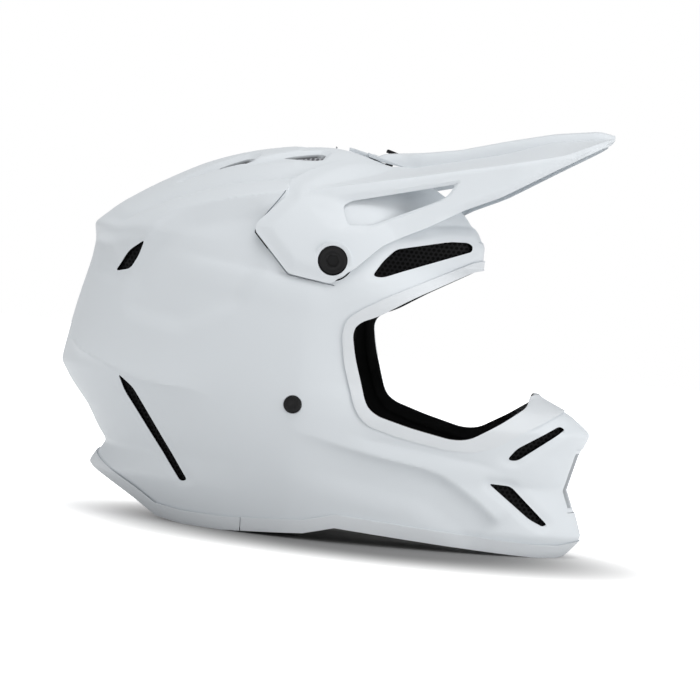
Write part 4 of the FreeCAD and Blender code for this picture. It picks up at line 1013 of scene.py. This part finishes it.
# Rows along the visor of its inner outline, from the middle to the lower edge
def visorInner(x):
    v = visorForm
    along = {}
    for key in ("crestZ", "crestY", "lowZ", "lowY", "roofZ", "spineZ", "spineY"):
        p = np.array(v[key])
        fine = np.arange(-60, 175, 0.5)
        along[key] = np.interp(x, fine, softened(np.interp(fine, p[:, 0], p[:, 1]), 5.0))[:, None]
    crestY, crestZ = along["crestY"] - v["skin"], along["crestZ"] - v["skin"] / 2
    lowY, lowZ = along["lowY"] - v["skin"], along["lowZ"]
    roofZ, spineZ, spineY = along["roofZ"] - v["skin"], along["spineZ"] - v["skin"], along["spineY"]
    top = np.linspace(0, 1, 8)[None, :]
    wall = np.linspace(0, 1, 4)[None, 1:]
    roof = np.linspace(0, 1, 30)[None, 1:]
    side = np.linspace(0, 1, 36)[None, 1:]
    y = [spineY * top, spineY + v["lean"] * wall, spineY + v["lean"] + (crestY - spineY - v["lean"]) * roof]
    z = [spineZ - 0.8 * top ** 3, spineZ - 0.8 + (roofZ - spineZ + 0.8) * wall, roofZ + (crestZ - roofZ) * roof]
    y, z = np.concatenate(y, axis=1), np.concatenate(z, axis=1)
    wide = np.repeat(x[:, None], y.shape[1], axis=1)
    seat = tongueSeat["depth"] * (1 - smoothStep(tongueSeat["half"], tongueSeat["half"] + 6, y))
    z = np.maximum(z, clearZ(wide, y) + v["gap"] - seat)
    edgeY, edgeZ = y[:, -1:], z[:, -1:]
    sideY, sideZ = edgeY + (lowY - edgeY) * side, edgeZ + (lowZ - edgeZ) * side
    wide = np.repeat(x[:, None], sideY.shape[1], axis=1)
    inset, tall = v["chamfer"]
    toCut = lineDistance(wide, sideZ, visorSide[9:15])[0]
    span = smoothStep(60, 80, wide) * (1 - smoothStep(138, 158, wide))
    sideY = sideY - inset * (1 - smoothStep(0, tall, toCut)) * span
    sideY = np.maximum(sideY, clearY(wide, sideZ) + v["gap"])
    y, z = np.concatenate([y, sideY], axis=1), np.concatenate([z, sideZ], axis=1)
    return np.stack([np.repeat(x[:, None], y.shape[1], axis=1), y, z], axis=-1)


def gridNormals(points):
    normal = np.cross(np.gradient(points, axis=0), np.gradient(points, axis=1))
    return normal / np.maximum(np.linalg.norm(normal, axis=-1, keepdims=True), 1e-9)


# The inner outline mirrored, moved outward by the skin, thinner toward its rear edges
def makeVisor():
    v = visorForm
    half = visorInner(np.linspace(-52, v["reach"], v["stations"]))
    inner = np.concatenate([(half * (1, -1, 1))[:, :0:-1], half], axis=1)
    normal = gridNormals(inner)
    if normal[10, inner.shape[1] // 2, 2] < 0:
        normal = -normal
    x, y, z = inner[..., 0], np.abs(inner[..., 1]), inner[..., 2]
    sideGap = lineDistance(x, z, v["rearEdge"])[0]
    roofGap = np.where(z > 214, lineDistance(x, y, v["roofEdge"])[0], 99)
    thick = v["skin"] * (0.3 + 0.7 * smoothStep(0, 10, np.minimum(sideGap, roofGap)))
    creaseGap, creaseSide = lineDistance(x, z, v["crestZ"])[:2]
    raised = np.exp(-creaseGap / np.where(creaseSide > 0, 8.0, 6.0))
    thick += v["crease"] * raised * (1 - smoothStep(60, 110, x)) * (y > 60)
    toRim = np.maximum(-outlineDistance(x, z, v["recessEdge"]), 0)
    toHole = np.maximum(outlineDistance(x, z, visorWindow), 0)
    sink = v["recess"] * toRim / np.maximum(toRim + toHole, 1e-6) * (z < 242) * (y > 60)
    outer = inner + normal * (thick - np.minimum(sink, thick - 0.3))[..., None]
    rows, columns = inner.shape[:2]
    loop = np.concatenate([outer, inner[:, ::-1]], axis=1)
    faces = gridFaces(rows, 2 * columns, True).tolist()
    first = np.arange(columns - 1)
    other = 2 * columns - 1 - first
    cap = np.stack([first, first + 1, other - 1, other], axis=1)
    faces += cap[:, ::-1].tolist() + (cap + (rows - 1) * 2 * columns).tolist()
    visor = newObject("visorPeak", loop.reshape(-1, 3), faces)
    orient(visor)
    carve(visor, [prism(roundedOutline(visorSide, 3.0), -200, 200)], "INTERSECT")
    plan = list(visorPlan) + [(a, -b) for a, b in visorPlan[-2::-1]]
    carve(visor, [prism(roundedOutline(plan, 12.0), 100, 400, axis="z")], "INTERSECT")
    tools = [through(roundedOutline(visorWindow, 3.0), outer=farSide + 1), boxTool(*v["tongueCut"])]
    bosses, holes = [], []
    for side in (-1, 1):
        tools.append(prism([(a, side * b) for a, b in v["behind"]], 150, 400, axis="z"))
        boss, seat, hole = (circle(pivot["x"], pivot["z"], v[key], steps)
                            for key, steps in (("bossRadius", 64), ("seatRadius", 64), ("screwRadius", 48)))
        bosses.append(through(boss, side, pivotY - 3.7, pivotY + 2.6))
        holes += [through(seat, side, pivotY - 1.7, 210), through(hole, side, 60, 205)]
    carve(visor, tools)
    carve(visor, bosses, "UNION")
    slot = prism(v["slot"], -20, 20, axis="z")
    turnPoints(slot, crownFrame["tilt"], crownFrame["foot"])
    carve(visor, holes + [slot])
    finishEdges(visor, 30, 0.35)
    return dress(visor, "shellWhite", "visor", visorBody, "visor")


# Leans a mesh about Y and moves it to a foot
def turnPoints(obj, tilt, foot):
    p = meshPoints(obj)
    x = p[:, 0] * math.cos(tilt) + p[:, 2] * math.sin(tilt) + foot[0]
    z = -p[:, 0] * math.sin(tilt) + p[:, 2] * math.cos(tilt) + foot[2]
    obj.data.vertices.foreach_set("co", (np.stack([x, p[:, 1], z], axis=1) * millimetre).ravel())


crownX = 24.0
crownFrame = dict(foot=(crownX, 0.0, float(baseTop(crownX, 0.0))),
                  tilt=math.atan2(float(baseTop(crownX - 6, 0.0) - baseTop(crownX + 6, 0.0)), 12))
makeVisor()
print("stage: visor")


# A profile of (radius, height) turned about its axis, a hexagon inside the socket's radius
def lathe(name, profile, place, socket=0.0, segments=72):
    p = np.array(profile, dtype=float)
    turn = np.linspace(0, 2 * np.pi, segments, endpoint=False)
    flat = math.cos(math.pi / 6) / np.cos((turn % (math.pi / 3)) - math.pi / 6)
    r = np.repeat(p[:, :1], segments, axis=1)
    r = np.where(r <= socket, r * flat[None, :], r)
    local = np.stack([r * np.cos(turn), r * np.sin(turn), np.repeat(p[:, 1:], segments, axis=1)], axis=-1)
    points = place(local.reshape(-1, 3))
    faces = gridFaces(len(p), segments, True).tolist()
    faces += [list(range(segments))[::-1], list(range((len(p) - 1) * segments, len(p) * segments))]
    obj = newObject(name, points, faces)
    orient(obj)
    finishEdges(obj, 38)
    return obj


def sidePlace(x, y, z, side):
    return lambda p: np.stack([p[:, 0] + x, side * (y + p[:, 2]), p[:, 1] + z], axis=1)


def crownPlace(p):
    a, foot = crownFrame["tilt"], crownFrame["foot"]
    return np.stack([p[:, 0] * math.cos(a) + p[:, 2] * math.sin(a) + foot[0], p[:, 1],
                     -p[:, 0] * math.sin(a) + p[:, 2] * math.cos(a) + foot[2]], axis=1)


# profiles as (radius, height), from the foot of the shank to the middle of the head
visorScrew = dict(socket=4.4, profile=(
    (3.0, -14.0), (3.0, 0.0), (9.0, 0.0), (9.2, 0.3), (9.2, 2.5), (8.9, 3.05), (8.3, 3.35), (7.2, 3.45),
    (6.6, 3.2), (5.4, 3.1), (5.0, 3.3), (4.5, 3.3), (4.3, 3.1), (4.2, 1.4), (0.6, 1.3)))
strapRivet = dict(socket=0.0, profile=(
    (2.5, -6.0), (2.5, 0.0), (5.3, 0.0), (5.55, 0.25), (5.6, 0.9), (5.3, 1.45), (4.6, 1.85), (3.4, 2.05),
    (2.6, 2.05), (2.3, 1.9), (0.3, 1.85)))
crownScrew = dict(socket=2.7, overTongue=1.9, profile=(
    (2.5, -17.0), (2.5, 0.0), (4.7, 0.0), (5.0, 0.3), (5.0, 1.7), (4.6, 2.3), (3.6, 2.5), (2.8, 2.5),
    (2.6, 2.3), (2.5, 1.0), (0.4, 0.9)))
tongueRise = float(visorInner(np.array([crownX]))[0, 0, 2] - crownFrame["foot"][2])
crownLift = tongueRise * math.cos(crownFrame["tilt"]) + crownScrew["overTongue"]
for sideName, side in (("right", -1), ("left", 1)):
    screw = lathe("visorScrew_" + sideName, visorScrew["profile"],
                  sidePlace(pivot["x"], pivotY - pivot["screwSunk"], pivot["z"], side), visorScrew["socket"])
    dress(screw, "plasticBlack", "screw", shellBody, "visor_screw_" + sideName)
    rivet = lathe("strapRivet_" + sideName, strapRivet["profile"],
                  sidePlace(rivetPlace["x"], rivetY - rivetPlace["screwSunk"], rivetPlace["z"], side))
    dress(rivet, "plasticBlack", "screw", shellBody, "strap_rivet_" + sideName)
lifted = [(r, h + crownLift) for r, h in crownScrew["profile"]]
screw = lathe("crownScrew", lifted, crownPlace, crownScrew["socket"])
dress(screw, "plasticBlack", "screw", shellBody, "crown_screw")
print("stage: screws and rivets")


blowUp = dict(pressure=4.0, quality=4, frames=20, weld=0.00002)


# The solid's own form, shrunk, blown up by pressure as far as a cap, then drawn in along seams
def softPad(name, node, material, voxel, shrink, cap, fill, seams=()):
    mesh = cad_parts[node].data.copy()
    pad = bpy.data.objects.new(name, mesh)
    scene.collection.objects.link(pad)
    weld = pad.modifiers.new("weld", "WELD")
    weld.merge_threshold = blowUp["weld"]
    applyModifiers(pad)
    remesh = pad.modifiers.new("remesh", "REMESH")
    remesh.mode, remesh.voxel_size = "VOXEL", voxel * millimetre
    applyModifiers(pad)
    start = meshPoints(pad)
    normal = vertexNormals(pad)
    pad.data.vertices.foreach_set("co", ((start - normal * shrink) * millimetre).ravel())
    cloth = pad.modifiers.new("cloth", "CLOTH")
    cloth.settings.use_pressure = True
    cloth.settings.uniform_pressure_force = blowUp["pressure"]
    cloth.settings.quality = blowUp["quality"]
    cloth.settings.effector_weights.gravity = 0.0
    cloth.point_cache.frame_start, cloth.point_cache.frame_end = 1, blowUp["frames"]
    for step in range(1, blowUp["frames"] + 1):
        scene.frame_set(step)
    applyModifiers(pad)
    scene.frame_set(1)
    moved = meshPoints(pad) - start
    length = np.linalg.norm(moved, axis=1, keepdims=True)
    points = start + moved * np.minimum(1, cap / np.maximum(length, 1e-6))
    for seam in seams:
        gap = lineDistance(points[:, 0], points[:, 2], seam["line"])[0]
        points -= vertexNormals(pad) * (seam["depth"] * np.exp(-(gap / seam["width"]) ** 2))[:, None]
    pad.data.vertices.foreach_set("co", (points * millimetre).ravel())
    smooth = pad.modifiers.new("subdivide", "SUBSURF")
    smooth.levels = smooth.render_levels = 1
    applyModifiers(pad)
    finishEdges(pad, 180)
    dress(pad, material, "liner", shellBody, node)
    return pad


def vertexNormals(obj):
    normal = np.empty(len(obj.data.vertices) * 3)
    obj.data.vertices.foreach_get("normal", normal)
    return normal.reshape(-1, 3)


cheekSeams = (
    dict(line=((-24, 34), (-20, 70), (4, 96), (14, 88), (22, 72), (40, 62), (86, 50)), depth=1.4, width=2.6),
    dict(line=((10, 28), (24, 50), (60, 46), (92, 34)), depth=1.2, width=2.2),
)
cheekPad = dict(material="linerCloth", voxel=4.0, shrink=1.2, cap=3.0, fill=0.7, seams=cheekSeams)
crownLiner = dict(material="linerKnit", voxel=5.0, shrink=0.8, cap=2.0, fill=0.4)
neckRoll = dict(material="linerKnit", voxel=4.0, shrink=1.0, cap=3.0, fill=0.8)
for sideName in ("right", "left"):
    softPad("cheekPad_" + sideName, "cheek_pad_" + sideName, **cheekPad)
softPad("crownLiner", "crown_liner", **crownLiner)
softPad("neckRoll", "neck_roll", **neckRoll)
print("stage: padding")


strapPiece = dict(width=20.0, skin=2.0, plate=(24.0, 28.0), room=8.0, rise=4.0, barRadius=1.5, lowBar=6.2)


# A cubic through the points of a route in (y, z), with each tangent from its neighbours
def smoothRoute(points, steps=14):
    p = np.asarray(points, dtype=float)
    slope = np.gradient(p, axis=0)
    t = np.linspace(0, 1, steps, endpoint=False)[None, :, None]
    a, b, ma, mb = p[:-1, None], p[1:, None], slope[:-1, None], slope[1:, None]
    curve = ((2 * t**3 - 3 * t**2 + 1) * a + (t**3 - 2 * t**2 + t) * ma
             + (3 * t**2 - 2 * t**3) * b + (t**3 - t**2) * mb)
    return np.concatenate([curve.reshape(-1, 2), p[-1:]])


# A flat band with rounded edges carried along the route, its threads in its own UV map
def makeStrap(name, node, route, side, spec):
    path = smoothRoute(route)
    step = np.gradient(path, axis=0)
    step /= np.linalg.norm(step, axis=1, keepdims=True)
    out = np.stack([-step[:, 1], step[:, 0]], axis=1)
    half, thin = spec["width"] / 2, spec["skin"] / 2
    around = np.linspace(0, 2 * np.pi, 28, endpoint=False)
    u = half * np.sign(np.cos(around)) * np.abs(np.cos(around)) ** 0.25
    w = thin * np.sign(np.sin(around)) * np.abs(np.sin(around)) ** 0.6
    y = path[:, :1] + out[:, :1] * w[None]
    z = path[:, 1:] + out[:, 1:] * w[None]
    x = np.repeat(rivetPlace["x"] + u[None], len(path), axis=0)
    points = np.stack([x, side * y, z], axis=-1)
    rows, columns = points.shape[:2]
    faces = gridFaces(rows, columns, True).tolist()
    faces += [list(range(columns))[::-1], list(range((rows - 1) * columns, rows * columns))]
    strap = newObject(name, points.reshape(-1, 3), faces)
    run = np.concatenate([[0], np.cumsum(np.linalg.norm(np.diff(path, axis=0), axis=1))])
    flat = np.stack(np.broadcast_arrays(u[None], run[:, None]), axis=-1).reshape(-1, 2)
    loops = np.empty(len(strap.data.loops), dtype=np.int64)
    strap.data.loops.foreach_get("vertex_index", loops)
    threads = strap.data.uv_layers.new(name="threads")
    threads.data.foreach_set("uv", (flat[loops] * millimetre).ravel())
    orient(strap)
    finishEdges(strap, 50)
    return dress(strap, "webbingCloth", "webbing", shellBody, node)


def strapRoutes(spec):
    wall, gap, x, z = shellForm["wall"], 0.3, rivetPlace["x"], rivetPlace["z"]
    wide, high = spec["plate"]
    corners = [(x + a * wide / 2, z + b * high / 2) for a in (-1, 1) for b in (-1, 1)]
    plateY = min(float(baseHalf(*corner)) for corner in corners) - wall - 2 * gap
    hangY = plateY - 1.5 - spec["skin"] / 2

    def hang(height):
        return float(baseHalf(x, height)) - wall - spec["room"] / 2, height

    turnY = float(baseHalf(x, 20)) - 10
    loopY = turnY - 26
    down = [(hangY, z + 12), (hangY, z - 15), hang(52), hang(34), (turnY + 3, 20.5)]
    ring = spec["barRadius"] + gap + spec["skin"] / 2
    low, top = spec["lowBar"], spec["lowBar"] + spec["rise"]
    right = down + [
        (turnY - 3, 17), (loopY + 9, top + 3.4), (loopY + 2, top + ring),
        (loopY - ring * 0.8, top + ring * 0.6), (loopY - ring, (low + top) / 2),
        (loopY - ring * 0.8, low - ring * 0.6), (loopY, low - ring), (loopY + ring * 0.8, low - ring * 0.6),
        (loopY + ring + 0.2, low + 2.0), (loopY + 6, top - 0.6), (loopY + 12, top + 1.4)]
    left = down + [(turnY - 4, 16), (turnY - 20, 7), (turnY - 34, 1.9), (turnY - 46, 1.3),
                   (30, 1.3), (0, 1.3), (-28, 1.3)]
    return right, left


rightRoute, leftRoute = strapRoutes(strapPiece)
makeStrap("chinStrap_right", "chin_strap_right", rightRoute, -1, strapPiece)
makeStrap("chinStrap_left", "chin_strap_left", leftRoute, 1, strapPiece)
print("stage: chin strap")


nodeFinishes = dict(
    shellWhite="mouth_grille",
    ventBlack="mouth_mesh",
    foamCharcoal="crown_foam chin_foam cheek_foam_right cheek_foam_left",
    plasticBlack="cheek_snaps_right cheek_snaps_left strap_snap",
    steelPlated="crown_nut d_ring_lower d_ring_upper strap_plate_right strap_plate_left "
                "visor_nut_right visor_nut_left",
    rubberBlack="visor_washer_right visor_washer_left",
)
for materialName, nodeNames in nodeFinishes.items():
    for nodeName in nodeNames.split():
        finish(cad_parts[nodeName], materialName)
print("stage: carried-over nodes")
